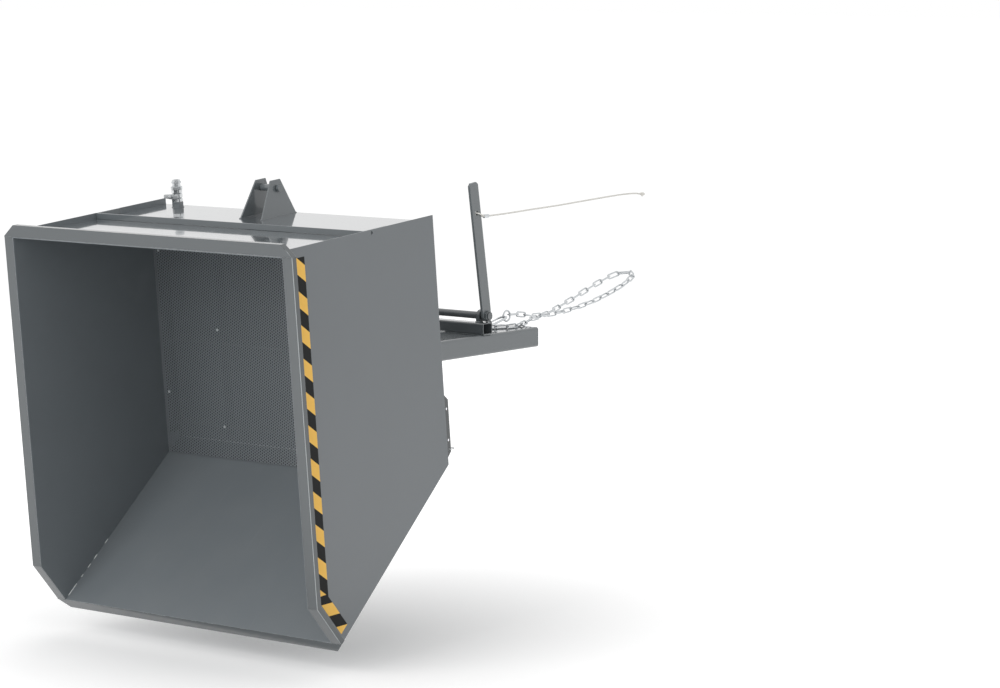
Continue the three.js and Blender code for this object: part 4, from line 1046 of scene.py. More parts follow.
class SmoothRoute:
    """A centripetal Catmull-Rom curve through given points, as ropes and chains are laid along."""

    def __init__(self, points: Iterable[Sequence[float]]) -> None:
        """Keeps the route's points, in millimetres."""
        self.points = [Vector(point) for point in points]

    def at(self, share: float) -> Vector:
        """The point at a share of the route's knots.

        Args:
            share: From 0 at the first point to 1 at the last.

        Returns:
            The point, in millimetres.
        """
        spans = len(self.points) - 1
        index = min(int(share * spans), spans - 1)
        weight = share * spans - index
        here, after = self.points[index], self.points[index + 1]
        before = self.points[index - 1] if index > 0 else 2 * self.points[0] - self.points[1]
        beyond = self.points[index + 2] if index + 2 <= spans else 2 * self.points[-1] - self.points[-2]
        steps = (before, here), (here, after), (after, beyond)
        first, middle, last = (math.sqrt((b - a).length) for a, b in steps)
        start = (here - before) / first - (after - before) / (first + middle) + (after - here) / middle
        stop = (after - here) / middle - (beyond - here) / (middle + last) + (beyond - after) / last
        start *= middle
        stop *= middle
        cubic = 2 * here - 2 * after + start + stop
        square = 3 * after - 3 * here - 2 * start - stop
        return ((cubic * weight + square) * weight + start) * weight + here

    def spaced(self, count: int, detail: int = 40) -> list[Vector]:
        """Points at equal distances along the route.

        Args:
            count: The number of spans between them.
            detail: Samples for each point of the route.

        Returns:
            One point more than count, in millimetres.
        """
        total = detail * len(self.points)
        fine = [self.at(i / total) for i in range(total + 1)]
        along = [0.0]
        for last, here in zip(fine, fine[1:]):
            along.append(along[-1] + (here - last).length)
        placed = []
        index = 0
        for step in range(count + 1):
            target = along[-1] * step / count
            while index < total - 1 and along[index + 1] < target:
                index += 1
            gap = along[index + 1] - along[index]
            placed.append(fine[index].lerp(fine[index + 1], (target - along[index]) / gap if gap else 0.0))
        return placed

    def length(self, detail: int = 20) -> float:
        """The route's length in millimetres, measured on so many spans for each of its points."""
        fine = self.spaced(detail * len(self.points))
        return sum((b - a).length for a, b in zip(fine, fine[1:]))


@dataclass
class PhotoView:
    """The camera that took the photograph: place in millimetres, turns in degrees, lens for its sensor."""

    place: Point = (9933.9, 8217.9, 1464.7)
    yaw: float = 39.17
    pitch: float = 6.82
    roll: float = -0.3
    lens: float = 130.0
    sensor: float = 36.0
    reach: float = 200000.0

    def build(self) -> None:
        """Makes the camera and sets it as the scene's."""
        yaw, pitch, roll = (math.radians(a) for a in (self.yaw, self.pitch, self.roll))
        level = Vector((-math.cos(yaw), -math.sin(yaw), 0.0))
        side = Vector((-math.sin(yaw), math.cos(yaw), 0.0))
        forward = level * math.cos(pitch) - Vector((0, 0, 1)) * math.sin(pitch)
        up = Vector((0, 0, 1)) * math.cos(pitch) + level * math.sin(pitch)
        right = side * math.cos(roll) + up * math.sin(roll)
        top = up * math.cos(roll) - side * math.sin(roll)
        data = bpy.data.cameras.new("photo_view")
        data.sensor_width = self.sensor
        data.lens = self.lens
        data.clip_end = self.reach * MM
        camera = linked("photo_view", data)
        turned = Matrix((right, top, -forward)).transposed().to_4x4()
        camera.matrix_world = Matrix.Translation(Vector(self.place) * MM) @ turned
        bpy.context.scene.camera = camera


@dataclass(frozen=True)
class Lamp:
    """A large soft square lamp: its place, its aim and its side in metres, and its power in watts."""

    name: str
    place: Point
    aim: Point
    size: float
    watts: float

    def build(self) -> None:
        """Makes the lamp, which only the object and the floor see."""
        data = bpy.data.lights.new(self.name, "AREA")
        data.shape = "SQUARE"
        data.size = self.size
        data.energy = self.watts
        lamp = linked(self.name, data)
        turn = (Vector(self.aim) - Vector(self.place)).to_track_quat("-Z", "Y").to_matrix().to_4x4()
        lamp.matrix_world = Matrix.Translation(self.place) @ turn
        lamp.visible_glossy = False
        lamp.visible_camera = False


@dataclass
class Studio:
    """Pale floor that clears to white round the shadow, white surroundings and soft light.

    The floor glows for rays that see it, from near_glow within near of the shadow's middle to far_glow
    beyond far, both in metres: the weaker glow round the middle is painted shadow.
    """

    floor_level: float = -970.0
    floor_half: float = 60000.0
    floor_tone: float = 0.9
    near_glow: float = 0.1
    far_glow: float = 0.5
    near: float = 0.25
    far: float = 1.7
    shadow_middle: tuple[float, float] = (1.0, 0.1)
    surroundings: float = 0.6
    lamps: tuple[Lamp, ...] = (
        Lamp("key", (7.5, -0.5, 2.4), (0.9, 0.0, -0.1), 4.5, 210.0),
        Lamp("fill", (2.5, 8.5, 3.0), (0.7, 0.2, -0.2), 5.0, 90.0),
        Lamp("back", (-6.0, -5.0, 4.0), (0.7, 0.0, 0.0), 5.0, 120.0),
    )

    def build(self) -> None:
        """Makes the floor, the world and the lamps."""
        bpy.context.scene.view_settings.view_transform = "Standard"
        self._world()
        self._floor()
        for lamp in self.lamps:
            lamp.build()

    def _white_to_rays(self, graph: Graph) -> bpy.types.NodeSocket:
        """One for camera, mirror and glass rays, and zero for the rest.

        Args:
            graph: The graph that needs it.

        Returns:
            The value's socket.
        """
        path = graph.add("LightPath")
        seen = graph.math("MAXIMUM", path.outputs["Is Camera Ray"], path.outputs["Is Glossy Ray"])
        return graph.math("MAXIMUM", seen, path.outputs["Is Transmission Ray"])

    def _world(self) -> None:
        """Makes white surroundings that light the object at a plain level."""
        world = bpy.data.worlds.new("studio")
        graph = Graph.of(world)
        strength = graph.ramp(self._white_to_rays(graph), 0.0, 1.0, self.surroundings, 1.0)
        light = graph.add("Background", {"Color": WHITE, "Strength": strength})
        graph.add("OutputWorld", {"Surface": light.outputs[0]})
        bpy.context.scene.world = world

    def _floor(self) -> None:
        """Makes a wide pale floor that keeps the object's shadow."""
        mesh = bmesh.new()
        bmesh.ops.create_grid(mesh, x_segments=1, y_segments=1, size=self.floor_half * MM)
        mesh.transform(Matrix.Translation((0, 0, self.floor_level * MM)))
        data = bpy.data.meshes.new("studio_floor")
        mesh.to_mesh(data)
        mesh.free()
        material = bpy.data.materials.new("studio_floor")
        graph = Graph.of(material)
        matt = graph.add("BsdfDiffuse", {"Color": (self.floor_tone, self.floor_tone, self.floor_tone, 1.0)})
        under = (*self.shadow_middle, self.floor_level * MM)
        away = graph.vector("DISTANCE", graph.place(), under, output="Value")
        # Less glow near the shadow's middle: a painted shadow on the floor.
        level = graph.ramp(away, self.near, self.far, self.near_glow, self.far_glow)
        strength = graph.math("MULTIPLY", level, self._white_to_rays(graph))
        glow = graph.add("Emission", {"Color": WHITE, "Strength": strength})
        surface = graph.fill(graph.add("AddShader"), (matt.outputs[0], glow.outputs[0]))
        graph.add("OutputMaterial", {"Surface": surface.outputs[0]})
        data.materials.append(material)
        linked("studio_floor", data)


@dataclass(frozen=True)
class HopperFrame:
    """Places on the skip: run along the mouth from the rear rim, side to the left, depth below the mouth."""

    pivot: Point = (876.4, 0.0, 35.0)
    pivot_run: float = 471.5
    pivot_depth: float = 756.0
    tip: float = TIPPED

    def turn(self) -> Matrix:
        """From places on the upright skip about its pivot, in metres, to the model's frame."""
        turn = Matrix.Rotation(math.radians(self.tip), 4, "Y")
        return Matrix.Translation(Vector(self.pivot) * MM) @ turn

    def seat(self, spot: Vector) -> Matrix:
        """The place of a new piece that stands at a spot and is tipped with the skip."""
        return Matrix.Translation(spot) @ self.turn().to_3x3().to_4x4()

    def spot(self, run: float, side: float, depth: float) -> Vector:
        """A place in metres in the model's frame, at rest."""
        return self.turn() @ (Vector((run - self.pivot_run, side, self.pivot_depth - depth)) * MM)

    def way(self, run: float, side: float, depth: float) -> Vector:
        """A direction in the model's frame."""
        return self.turn().to_3x3() @ Vector((run, side, -depth))

    def local(self, point: Vector) -> Vector:
        """Run, side and depth of a place in the model's frame."""
        flat = self.turn().inverted() @ point / MM
        return Vector((flat.x + self.pivot_run, flat.y, self.pivot_depth - flat.z))


@dataclass(frozen=True)
class WeldBead:
    """A fillet weld: a low rippled bar along a seam, thinner at its ends."""

    radius: float = 2.4
    ripple: float = 0.14
    step: float = 2.4
    sides: int = 6
    fewest: int = 4
    wander_scale: float = 180.0
    end_share: float = 0.45
    end_growth: float = 0.25

    def along(self, mesh: bmesh.types.BMesh, corners: Sequence[Vector],
              keep: Callable[[Vector], bool] | None = None) -> None:
        """Adds beads along a line.

        Args:
            mesh: The bmesh that they go into.
            corners: The line's corners, in metres.
            keep: Tells which places take a bead, where not all do.
        """
        places: list[Vector] = []
        for start, stop in zip(corners, corners[1:]):
            count = max(1, round((stop - start).length / (self.step * MM)))
            places += [start.lerp(stop, i / count) for i in range(count)]
        places.append(corners[-1])
        run: list[Vector] = []
        for spot in places:
            if keep is None or keep(spot):
                run.append(spot)
            else:
                self._lay(mesh, run)
                run = []
        self._lay(mesh, run)

    def _lay(self, mesh: bmesh.types.BMesh, centres: Sequence[Vector]) -> None:
        """Lays one unbroken bead, where there is room for one.

        Args:
            mesh: The bmesh that it goes into.
            centres: Its centres, in metres.
        """
        if len(centres) < self.fewest:
            return
        radii = []
        for index, centre in enumerate(centres):
            wander = noise.noise(centre * self.wander_scale) * self.ripple
            scale = 1 + self.ripple * (0.5 if index % 2 else -0.5) + wander
            end = min(index, len(centres) - 1 - index)
            radii.append(self.radius * MM * scale * min(1, self.end_share + self.end_growth * end))
        append(mesh, tube_through("bead", centres, radii, sides=self.sides))


@dataclass
class Welds:
    """The beads that join plates and members, each found where a piece stands on its neighbour."""

    shop: Workshop
    place: HopperFrame
    bead: WeldBead = WeldBead()
    lift: float = 0.6
    wall_run: float = 40.3
    underside: float = 711.0
    stitch: float = 150.0
    stitch_share: float = 0.3
    tack: WeldBead = WeldBead(radius=3.0)
    tack_side: float = 606.0
    tack_seam: tuple[tuple[float, float], ...] = ((1303.6, 111.0), (1148.4, 323.0))
    tack_shares: tuple[tuple[float, float], ...] = (
        (0.0, 0.23), (0.32, 0.39), (0.48, 0.57), (0.63, 0.73), (0.9, 1.0),
    )
    # A thin pale bead along the rim's outer bend, painted as its highlight.
    fold: WeldBead = WeldBead(radius=1.3, ripple=0.03, step=12.0)
    fold_line: tuple[Point, ...] = (
        (1.2, 604.4, 1.2), (38.8, 648.8, 1.2), (1172.6, 648.8, 1.2), (1311.4, 648.8, 101.4),
    )

    def build(self) -> None:
        """Lays the beads of the skip and of the fork frame, and a pale bead along the rim's outer bend that
        is a painted highlight.
        """
        self._skip()
        self._tacks()
        line = bmesh.new()
        self.fold.along(line, [self.place.spot(*corner) for corner in self.fold_line])
        self.shop.piece("rim_fold_highlight", line, Body.HOPPER, Coat.FOLD_HIGHLIGHT, weighted=False)
        self._frame()

    def _skip(self) -> None:
        """Lays beads where plates stand on the rear wall and under the floor."""
        mesh = bmesh.new()
        wall = self.place.spot(self.wall_run - self.lift, 0, 0)
        floor = self.place.spot(0, 0, self.underside + self.lift)
        along_wall, down = self.place.way(-1, 0, 0), self.place.way(0, 0, 1)
        for node in (*both("lug_plate"), "drain_socket"):
            self._foot(mesh, node, wall, along_wall)
        self._foot(mesh, "cross_bar", wall, along_wall, self._stitched)
        for node in (*both("pivot_hanger"), *both("floor_skid")):
            self._foot(mesh, node, floor, down)
        self.shop.piece("skip_weld_beads", mesh, Body.HOPPER, Coat.HOPPER, weighted=False)

    def _tacks(self) -> None:
        """Lays short tacks in both corners inside the front wall, near-white as a painted highlight."""
        mesh = bmesh.new()
        for side in (1, -1):
            foot, top = (self.place.spot(run, side * self.tack_side, depth) for run, depth in self.tack_seam)
            for start, end in self.tack_shares:
                self.tack.along(mesh, [foot.lerp(top, start), foot.lerp(top, end)])
        self.shop.piece("front_wall_tacks", mesh, Body.HOPPER, Coat.WELD_HIGHLIGHT, weighted=False)

    def _frame(self) -> None:
        """Lays beads where the frame's members meet."""
        mesh = bmesh.new()
        low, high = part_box("fork_pocket_left")
        tube_low, tube_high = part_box("rear_cross_tube")
        lift = self.lift * MM
        along, across, level = Vector((1, 0, 0)), Vector((0, 1, 0)), Vector((0, 0, 1))
        for node in ("rear_cross_tube", "rest_beam"):
            self._foot(mesh, node, level * (high.z + lift), level, lambda spot: abs(spot.y) > low.y)
        for node in both("latch_bearing"):
            self._foot(mesh, node, level * (tube_high.z + lift), level)
        self._foot(mesh, "chain_eye", along * (tube_low.x - lift), -along)
        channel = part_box("front_channel")[1].y - lift
        for sign, side in ((1, "left"), (-1, "right")):
            for where, face in (("inner", low.y - lift), ("outer", high.y + lift)):
                self._foot(mesh, f"pivot_bracket_{side}_{where}", across * face * sign, across,
                           lambda spot: low.z < spot.z < high.z)
            self._foot(mesh, "front_channel", across * channel * sign, across)
        self.shop.piece("frame_weld_beads", mesh, Body.FRAME, Coat.FRAME, weighted=False)

    def _stitched(self, spot: Vector) -> bool:
        """Whether a place is in a short stitch of the broken seam behind the cross bar."""
        low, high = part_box("cross_bar")
        return spot.x < (low.x + high.x) / 2 and (spot.y / (self.stitch * MM)) % 1 < self.stitch_share

    def _foot(self, mesh: bmesh.types.BMesh, node: str, spot: Vector, way: Vector,
              keep: Callable[[Vector], bool] | None = None) -> None:
        """Adds beads round the outline of a node where a plane cuts it.

        Args:
            mesh: The bmesh that they go into.
            node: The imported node.
            spot: A place on the plane, just off the face that the node stands on.
            way: The plane's normal.
            keep: Tells which places take a bead, where not all do.
        """
        cut = self.shop.copy(node)
        bmesh.ops.bisect_plane(cut, geom=cut.verts[:] + cut.edges[:] + cut.faces[:], dist=MERGE / 2,
                               plane_co=spot, plane_no=way, clear_inner=True, clear_outer=True)
        for outline in self._outlines(cut):
            self.bead.along(mesh, outline, keep)
        cut.free()

    @staticmethod
    def _outlines(cut: bmesh.types.BMesh) -> list[list[Vector]]:
        """The closed outlines of a cut, walked in the order of their corners' places.

        Args:
            cut: A mesh of the cut's edges alone.

        Returns:
            The corners of each outline, which ends where it starts.
        """
        def order(corner: bmesh.types.BMVert) -> tuple[float, ...]:
            """A corner's place, to a tenth of a millimetre."""
            return tuple(round(value, 4) for value in corner.co)

        left = sorted(cut.verts, key=order)
        outlines = []
        while left:
            line = [left.pop(0)]
            while True:
                ends = (edge.other_vert(line[-1]) for edge in line[-1].link_edges)
                after = min((end for end in ends if end in left), key=order, default=None)
                if after is None:
                    break
                left.remove(after)
                line.append(after)
            outlines.append([corner.co.copy() for corner in (*line, line[0])])
        return outlines


@dataclass
class HopperShell:
    """The skip: rim, panels, walls, cross bar and latch lug."""

    shop: Workshop
    place: HopperFrame
    sheet: Edge = Edge(0.7, fold=2.5)
    steep: float = 0.5
    level: float = 0.3
    clip: Bar = Bar("skid_clip", 6, 1.5, body=Body.HOPPER)
    dressings: tuple[Dressing, ...] = (
        Dressing(("rim_rear", *both("rim"), "rim_lip"), Coat.RIM, Edge(1.0, fold=3.0)),
        Dressing(("cross_bar", *both("lug_plate")), Coat.FRAME, Edge(1.2)),
        # The skids wear near-black painted shade.
        Dressing(both("floor_skid"), Coat.SKID, Edge(0.9)),
        Dressing(both("pivot_hanger"), Coat.FRAME, Edge(0.9)),
        Dressing(both("pivot_bush"), Coat.BRONZE, Edge(0.5, 1)),
        # The strainer's frame wears the sump's near-black painted shade.
        Dressing(("strainer_frame",), Coat.SUMP_SHADE, Edge(0.6, 1)),
        Dressing(("lug_bolt", "lug_bush"), Coat.FRAME, Edge(0.7)),
    )

    def build(self) -> None:
        """Dresses every node of the shell."""
        rearward, down = self.place.way(-1, 0, 0), self.place.way(0, 0, 1)
        for sign, node in zip((1, -1), both("side_panel")):
            self._line(node, Coat.HOPPER, Coat.INNER, Vector((0, sign, 0)), -self.steep)
        self._line("back_wall", Coat.REAR, Coat.INNER, rearward, self.steep)
        # The floor sheet's inner face wears near-black painted shade, seen through the strainer's holes.
        self._line("floor_sheet", Coat.HOPPER, Coat.SUMP_SHADE, down, self.level)
        self._front_wall(down)
        self.shop.dress_all(self.dressings)
        self.shop.rounded(self.clip)

    def _line(self, node: str, outer: Coat, inner: Coat, outward: Vector, least: float) -> None:
        """Dresses a wall that has another finish inside.

        Args:
            node: The wall.
            outer: Its outer finish.
            inner: Its inner finish.
            outward: The way out.
            least: The least cosine to the way out that still counts as outside.
        """
        self.shop.dress(node, Body.HOPPER, outer, inner, edge=self.sheet,
                        inside=lambda face: int(face.normal.dot(outward) < least))

    def _front_wall(self, down: Vector) -> None:
        """Dresses the front wall: grey outside, grey inside, and painted shade under the strainer.

        Args:
            down: The way down on the upright skip.
        """
        cover = min(self.place.local(corner).z for corner in self.shop.corners("strainer_frame"))

        def lining(face: bmesh.types.BMFace) -> int:
            """The number of a face's finish.

            Args:
                face: The face.

            Returns:
                0 outside, 1 inside above the strainer, and 2 under it, in painted shade.
            """
            if face.normal.dot(down) >= self.level:
                return 0
            return 2 if self.place.local(face.calc_center_median()).z > cover else 1

        self.shop.dress("front_wall", Body.HOPPER, Coat.HOPPER, Coat.INNER, Coat.SUMP_SHADE, edge=self.sheet,
                        inside=lining, split=(self.place.spot(0, 0, cover), down))


@dataclass
class Strainer:
    """The punched sheet over the floor and the screws that hold it."""

    shop: Workshop
    place: HopperFrame
    gauge: float = 3.0
    sheet_edge: Edge = Edge(0.5, 1)
    packed_head: float = 5.0
    head_radius: float = 4.8
    head_height: float = 3.2
    socket_radius: float = 2.3
    socket_lip: float = 0.5
    shank_radius: float = 3.0
    clearance: float = 0.05
    facets: int = 24
    tolerance: float = 0.2
    reach: float = 30.0
    socket_shares: tuple[float, float] = (0.35, 0.98)
    crown_shares: tuple[tuple[float, float], ...] = ((0.72, 0.86), (0.93, 0.5), (1.0, 0.12))

    def build(self) -> None:
        """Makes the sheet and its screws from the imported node, whose least depth is its screw heads'."""
        corners = [self.place.local(corner) for corner in self.shop.corners("strainer_sheet")]
        heads = min(c.z for c in corners)
        top = heads + self.packed_head
        low, high = span([c for c in corners if abs(c.z - top) < self.tolerance])
        mesh = bmesh.new()
        bmesh.ops.create_cube(mesh, size=1.0)
        middle = (low + high) / 2
        size = Vector((high.x - low.x, high.y - low.y, self.gauge)) * MM
        centre = self.place.spot(middle.x, middle.y, top + self.gauge / 2)
        mesh.transform(self.place.seat(centre) @ Matrix.Diagonal((*size, 1.0)))
        self.shop.round_edges(mesh, self.sheet_edge)
        made = self.shop.piece("strainer_sheet_punched", mesh, Body.HOPPER, Coat.STRAINER)
        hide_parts("strainer_sheet")
        self._screws([c for c in corners if c.z - heads < self.tolerance], top)

    def _profile(self) -> list[tuple[float, float]]:
        """A button head with a socket, on a shank.

        Returns:
            Its radius and height pairs.
        """
        crown = self.head_height
        floor, brim = (crown * share for share in self.socket_shares)
        socket = [(0, floor), (self.socket_radius, floor), (self.socket_radius, brim)]
        dome = [(self.head_radius * out, crown * up) for out, up in self.crown_shares]
        under = [(self.head_radius, self.clearance), (self.shank_radius, self.clearance)]
        shank = [(self.shank_radius, -self.gauge), (0, -self.gauge)]
        return [*socket, (self.socket_radius + self.socket_lip, crown), *dome, *under, *shank]

    def _screws(self, tops: list[Vector], top: float) -> None:
        """Puts button-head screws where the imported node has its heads.

        Args:
            tops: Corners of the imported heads, on their upper faces.
            top: Depth of the sheet's upper face.
        """
        groups: list[list[Vector]] = []
        for corner in tops:
            near = next((g for g in groups if (g[0] - corner).length < self.reach), None)
            if near is None:
                groups.append([corner])
            else:
                near.append(corner)
        screws = bmesh.new()
        for group in groups:
            low, high = span(group)
            spot = self.place.spot((low.x + high.x) / 2, (low.y + high.y) / 2, top)
            append(screws, lathe(self._profile(), self.facets), self.place.seat(spot))
        made = self.shop.piece("strainer_screws_plated", screws, Body.HOPPER, Coat.ZINC, weighted=False)
        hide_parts("strainer_sheet")


@dataclass
class EdgeTape:
    """Hazard tape on the left panel, beside the rim: places are run and depth on the skip."""

    shop: Workshop
    place: HopperFrame
    start: float = 53.0
    seam: float = 1148.0
    offset: float = 58.0
    slope_offset: float = 49.0
    width: float = 41.0
    thickness: float = 0.4
    stand_off: float = 0.05
    first_stripe: float = 48.0
    slope_stripe: float = 41.0
    kink: float = 1173.0
    lip: tuple[float, float] = (1345.0, 124.0)
    foot: tuple[float, float] = (858.0, 731.0)
    margin: float = 26.0
    uv_map: ClassVar[str] = "run"

    def build(self) -> None:
        """Lays a strip beside the rim's long edge and one beside its slope, cut to meet across a seam."""
        ahead, deeper = Vector((1.0, 0.0)), Vector((0.0, 1.0))
        slope = Vector((self.lip[0] - self.kink, self.lip[1])).normalized()
        inward = Vector((-slope.y, slope.x))
        lean = Vector(self.foot) - Vector(self.lip)
        edge = Vector(self.lip) - ahead * self.margin * lean.length / abs(lean.y)
        origin = Vector((self.kink, 0.0)) + inward * self.slope_offset
        rows = []
        for across in (0.0, self.width):
            depth = deeper * (self.offset + across)
            bend = self._cross(depth, ahead, origin + inward * across, slope)
            free = self._cross(bend, slope, edge, lean)
            rows.append((depth + ahead * self.start, depth + ahead * self.seam, bend, free))
        (near, middle, bend, free), (far, far_middle, far_bend, far_free) = rows
        mesh = bmesh.new()
        level = deeper * self.offset + ahead * self.first_stripe
        self._strip(mesh, (near, middle, far_middle, far), level, ahead, deeper)
        sloping = (middle, bend, free, far_free, far_bend, far_middle)
        self._strip(mesh, sloping, origin + slope * self.slope_stripe, slope, inward)
        self.shop.piece("hazard_tape", mesh, Body.HOPPER, Coat.TAPE)

    def _strip(self, mesh: bmesh.types.BMesh, corners: Sequence[Vector], origin: Vector, way: Vector,
               across: Vector) -> None:
        """Adds one flat strip, which stands off the panel by its thickness.

        Args:
            mesh: The bmesh that it goes into.
            corners: Run and depth of its corners, in order.
            origin: Where the first yellow stripe starts, on the strip's outer edge.
            way: The way its stripes count.
            across: The way to its inner edge.
        """
        strip = bmesh.new()
        layer = strip.loops.layers.uv.new(self.uv_map)
        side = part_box("side_panel_left")[1].y / MM + self.stand_off
        face = strip.faces.new([strip.verts.new(self.place.spot(c.x, side, c.y)) for c in corners])
        for loop, corner in zip(face.loops, corners):
            away = corner - origin
            loop[layer].uv = (away.dot(way) * MM, away.dot(across) * MM)
        strip.normal_update()
        if face.normal.y < 0:
            bmesh.ops.reverse_faces(strip, faces=strip.faces[:])
        bmesh.ops.solidify(strip, geom=strip.faces[:], thickness=-self.thickness * MM)
        append(mesh, strip)

    @staticmethod
    def _cross(start: Vector, way: Vector, other: Vector, other_way: Vector) -> Vector:
        """Where two lines cross.

        Args:
            start: A place on the first.
            way: The first's direction.
            other: A place on the second.
            other_way: The second's direction.

        Returns:
            The crossing.
        """
        gap = other - start
        across = way.x * other_way.y - way.y * other_way.x
        return start + way * ((gap.x * other_way.y - gap.y * other_way.x) / across)


@dataclass
class Drain:
    """The drain through the back wall: socket, ball valve, coupling and cross handle."""

    shop: Workshop
    dressings: tuple[Dressing, ...] = (
        Dressing(("drain_socket",), Coat.FRAME, Edge(1.0)),
        Dressing(("drain_valve_body",), Coat.CHROME, Edge(0.6)),
        Dressing(("hose_coupling",), Coat.ZINC, Edge(0.6)),
        Dressing(("valve_stem",), Coat.CHROME, Edge(0.5), Body.DRAIN_HANDLE),
        Dressing(("valve_handle",), Coat.HANDLE, Edge(1.0, 3), Body.DRAIN_HANDLE),
    )

    def build(self) -> None:
        """Dresses the nodes of the drain."""
        self.shop.dress_all(self.dressings)


@dataclass
class ForkFrame:
    """Fork pockets, the members between them, the pivot, the latch and the chain's fittings."""

    shop: Workshop
    tube: ClassVar[Edge] = Edge(1.0, fold=4.0)
    plate: ClassVar[Edge] = Edge(1.2)
    dressings: tuple[Dressing, ...] = (
        Dressing((*both("fork_pocket"), "rest_beam", "front_channel"), Coat.FRAME, tube, Body.FRAME),
        # The cross tube, latch bearings, latch shaft and hook wear the darker frame paint, which is painted
        # shade.
        Dressing(("rear_cross_tube",), Coat.SHADED, tube, Body.FRAME),
        Dressing(tuple(f"{side}_{where}" for side in both("pivot_bracket") for where in ("outer", "inner")),
                 Coat.FRAME, plate, Body.FRAME),
        Dressing(both("latch_bearing"), Coat.SHADED, plate, Body.FRAME),
        Dressing((*both("rest_buffer"), *both("tip_stop")), Coat.RUBBER, Edge(2.0, 3), Body.FRAME),
        Dressing(("pivot_shaft", "pivot_ring"), Coat.ZINC, Edge(0.8), Body.FRAME),
        Dressing(("latch_shaft", "latch_hook"), Coat.SHADED, plate, Body.LATCH),
        Dressing(("lever_nut",), Coat.FRAME, Edge(1.0), Body.LATCH),
        Dressing(("release_lever",), Coat.FRAME, plate, Body.LATCH),
    )
    bars: tuple[Bar, ...] = (
        Bar("chain_eye", 6, 4.0, Coat.FRAME),
        Bar("chain_ring", 6, 3.5),
        Bar("carabiner", 8, 4.0),
        Bar("carabiner_gate", 8, 3.0, body=Body.GATE),
    )

    def build(self) -> None:
        """Dresses every node of the frame."""
        self.shop.dress_all(self.dressings)
        for bar in self.bars:
            self.shop.rounded(bar)


@dataclass
class ReleaseRope:
    """The cord that pulls the release lever: loop, clamp, run and knot."""

    shop: Workshop
    radius: float = 3.0
    lay: float = 22.0
    step: float = 1.1
    strands: int = 3
    groove: float = 0.07
    strand_points: int = 5
    loop: Bar = Bar("rope_loop", 8, 2.5, Coat.ROPE, Body.ROPE)
    clamp_edge: Edge = Edge(1.2, 3)
    knot_radius: float = 2.9
    knot_width: float = 2.05
    knot_height: float = 5.6
    knot_steps: int = 96
    knot_sides: int = 12
    path_step: int = 4
    route: tuple[Point, ...] = (
        (247, 277, 416), (200, 277, 416.6), (140, 277, 417.8), (71, 277, 420), (0, 277, 422.4),
        (-80, 277, 424.6), (-157, 277, 427), (-230, 277, 430.2), (-310, 277, 433.6), (-390, 277, 437),
        (-460, 277, 439.8), (-530, 277, 441.6), (-600, 277, 440.4), (-632, 277, 436.6),
    )

    def build(self) -> None:
        """Makes the cord and its knot, and dresses the loop and the clamp."""
        self.shop.rounded(self.loop)
        self.shop.dress("cable_clamp", Body.ROPE, Coat.ZINC, edge=self.clamp_edge)
        knot = self._knot()
        route = SmoothRoute(self.route)
        centres = [point * MM for point in route.spaced(round(route.length() / self.step))]
        tilts = [FULL_TURN * i * self.step / self.lay for i in range(len(centres))]
        section = self._section()
        name = "release_cable_laid"
        mesh = tube_through(name, centres, [MM] * len(centres), profile=section, tilts=tilts)
        bpy.data.curves.remove(section.data)
        cable = self.shop.piece(name, mesh, Body.ROPE, Coat.ROPE, weighted=False)
        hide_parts("release_cable")
        route.length() * MM

    def _section(self) -> bpy.types.Object:
        """The cord's section: three strands side by side.

        Returns:
            A closed curve, in millimetres.
        """
        data = bpy.data.curves.new("strands", "CURVE")
        spline = data.splines.new("POLY")
        points = self.strand_points * self.strands
        spline.points.add(points - 1)
        spline.use_cyclic_u = True
        for index in range(points):
            angle = FULL_TURN * index / points
            crown = abs(math.cos(angle * self.strands / 2))
            reach = self.radius * (1 - self.groove * (1 - crown))
            spline.points[index].co = (reach * math.cos(angle), reach * math.sin(angle), 0.0, 1.0)
        return linked("strands", data)

    def _knot(self) -> bpy.types.Object:
        """The stopper knot: a cord drawn tight round itself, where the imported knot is.

        Returns:
            The knot's piece.
        """
        low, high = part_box("cable_knot")
        away = Vector(self.route[-1]) - Vector(self.route[-2])
        place = Matrix.Translation((low + high) / 2) @ away.to_track_quat("Z", "Y").to_matrix().to_4x4()
        # A trefoil, the simplest closed knot, drawn so tight that its three loops touch.
        path = []
        for index in range(self.knot_steps):
            turn = FULL_TURN * index / self.knot_steps
            along = (math.sin(turn) + 2 * math.sin(2 * turn)) * self.knot_width
            across = (math.cos(turn) - 2 * math.cos(2 * turn)) * self.knot_width
            path.append(place @ (Vector((along, across, -math.sin(3 * turn) * self.knot_height)) * MM))
        radii = [self.knot_radius * MM] * self.knot_steps
        strand = tube_through("knot", path, radii, sides=self.knot_sides, closed=True)
        made = self.shop.piece("cable_knot_laid", strand, Body.ROPE, Coat.ROPE, weighted=False)
        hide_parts("cable_knot")
        return made


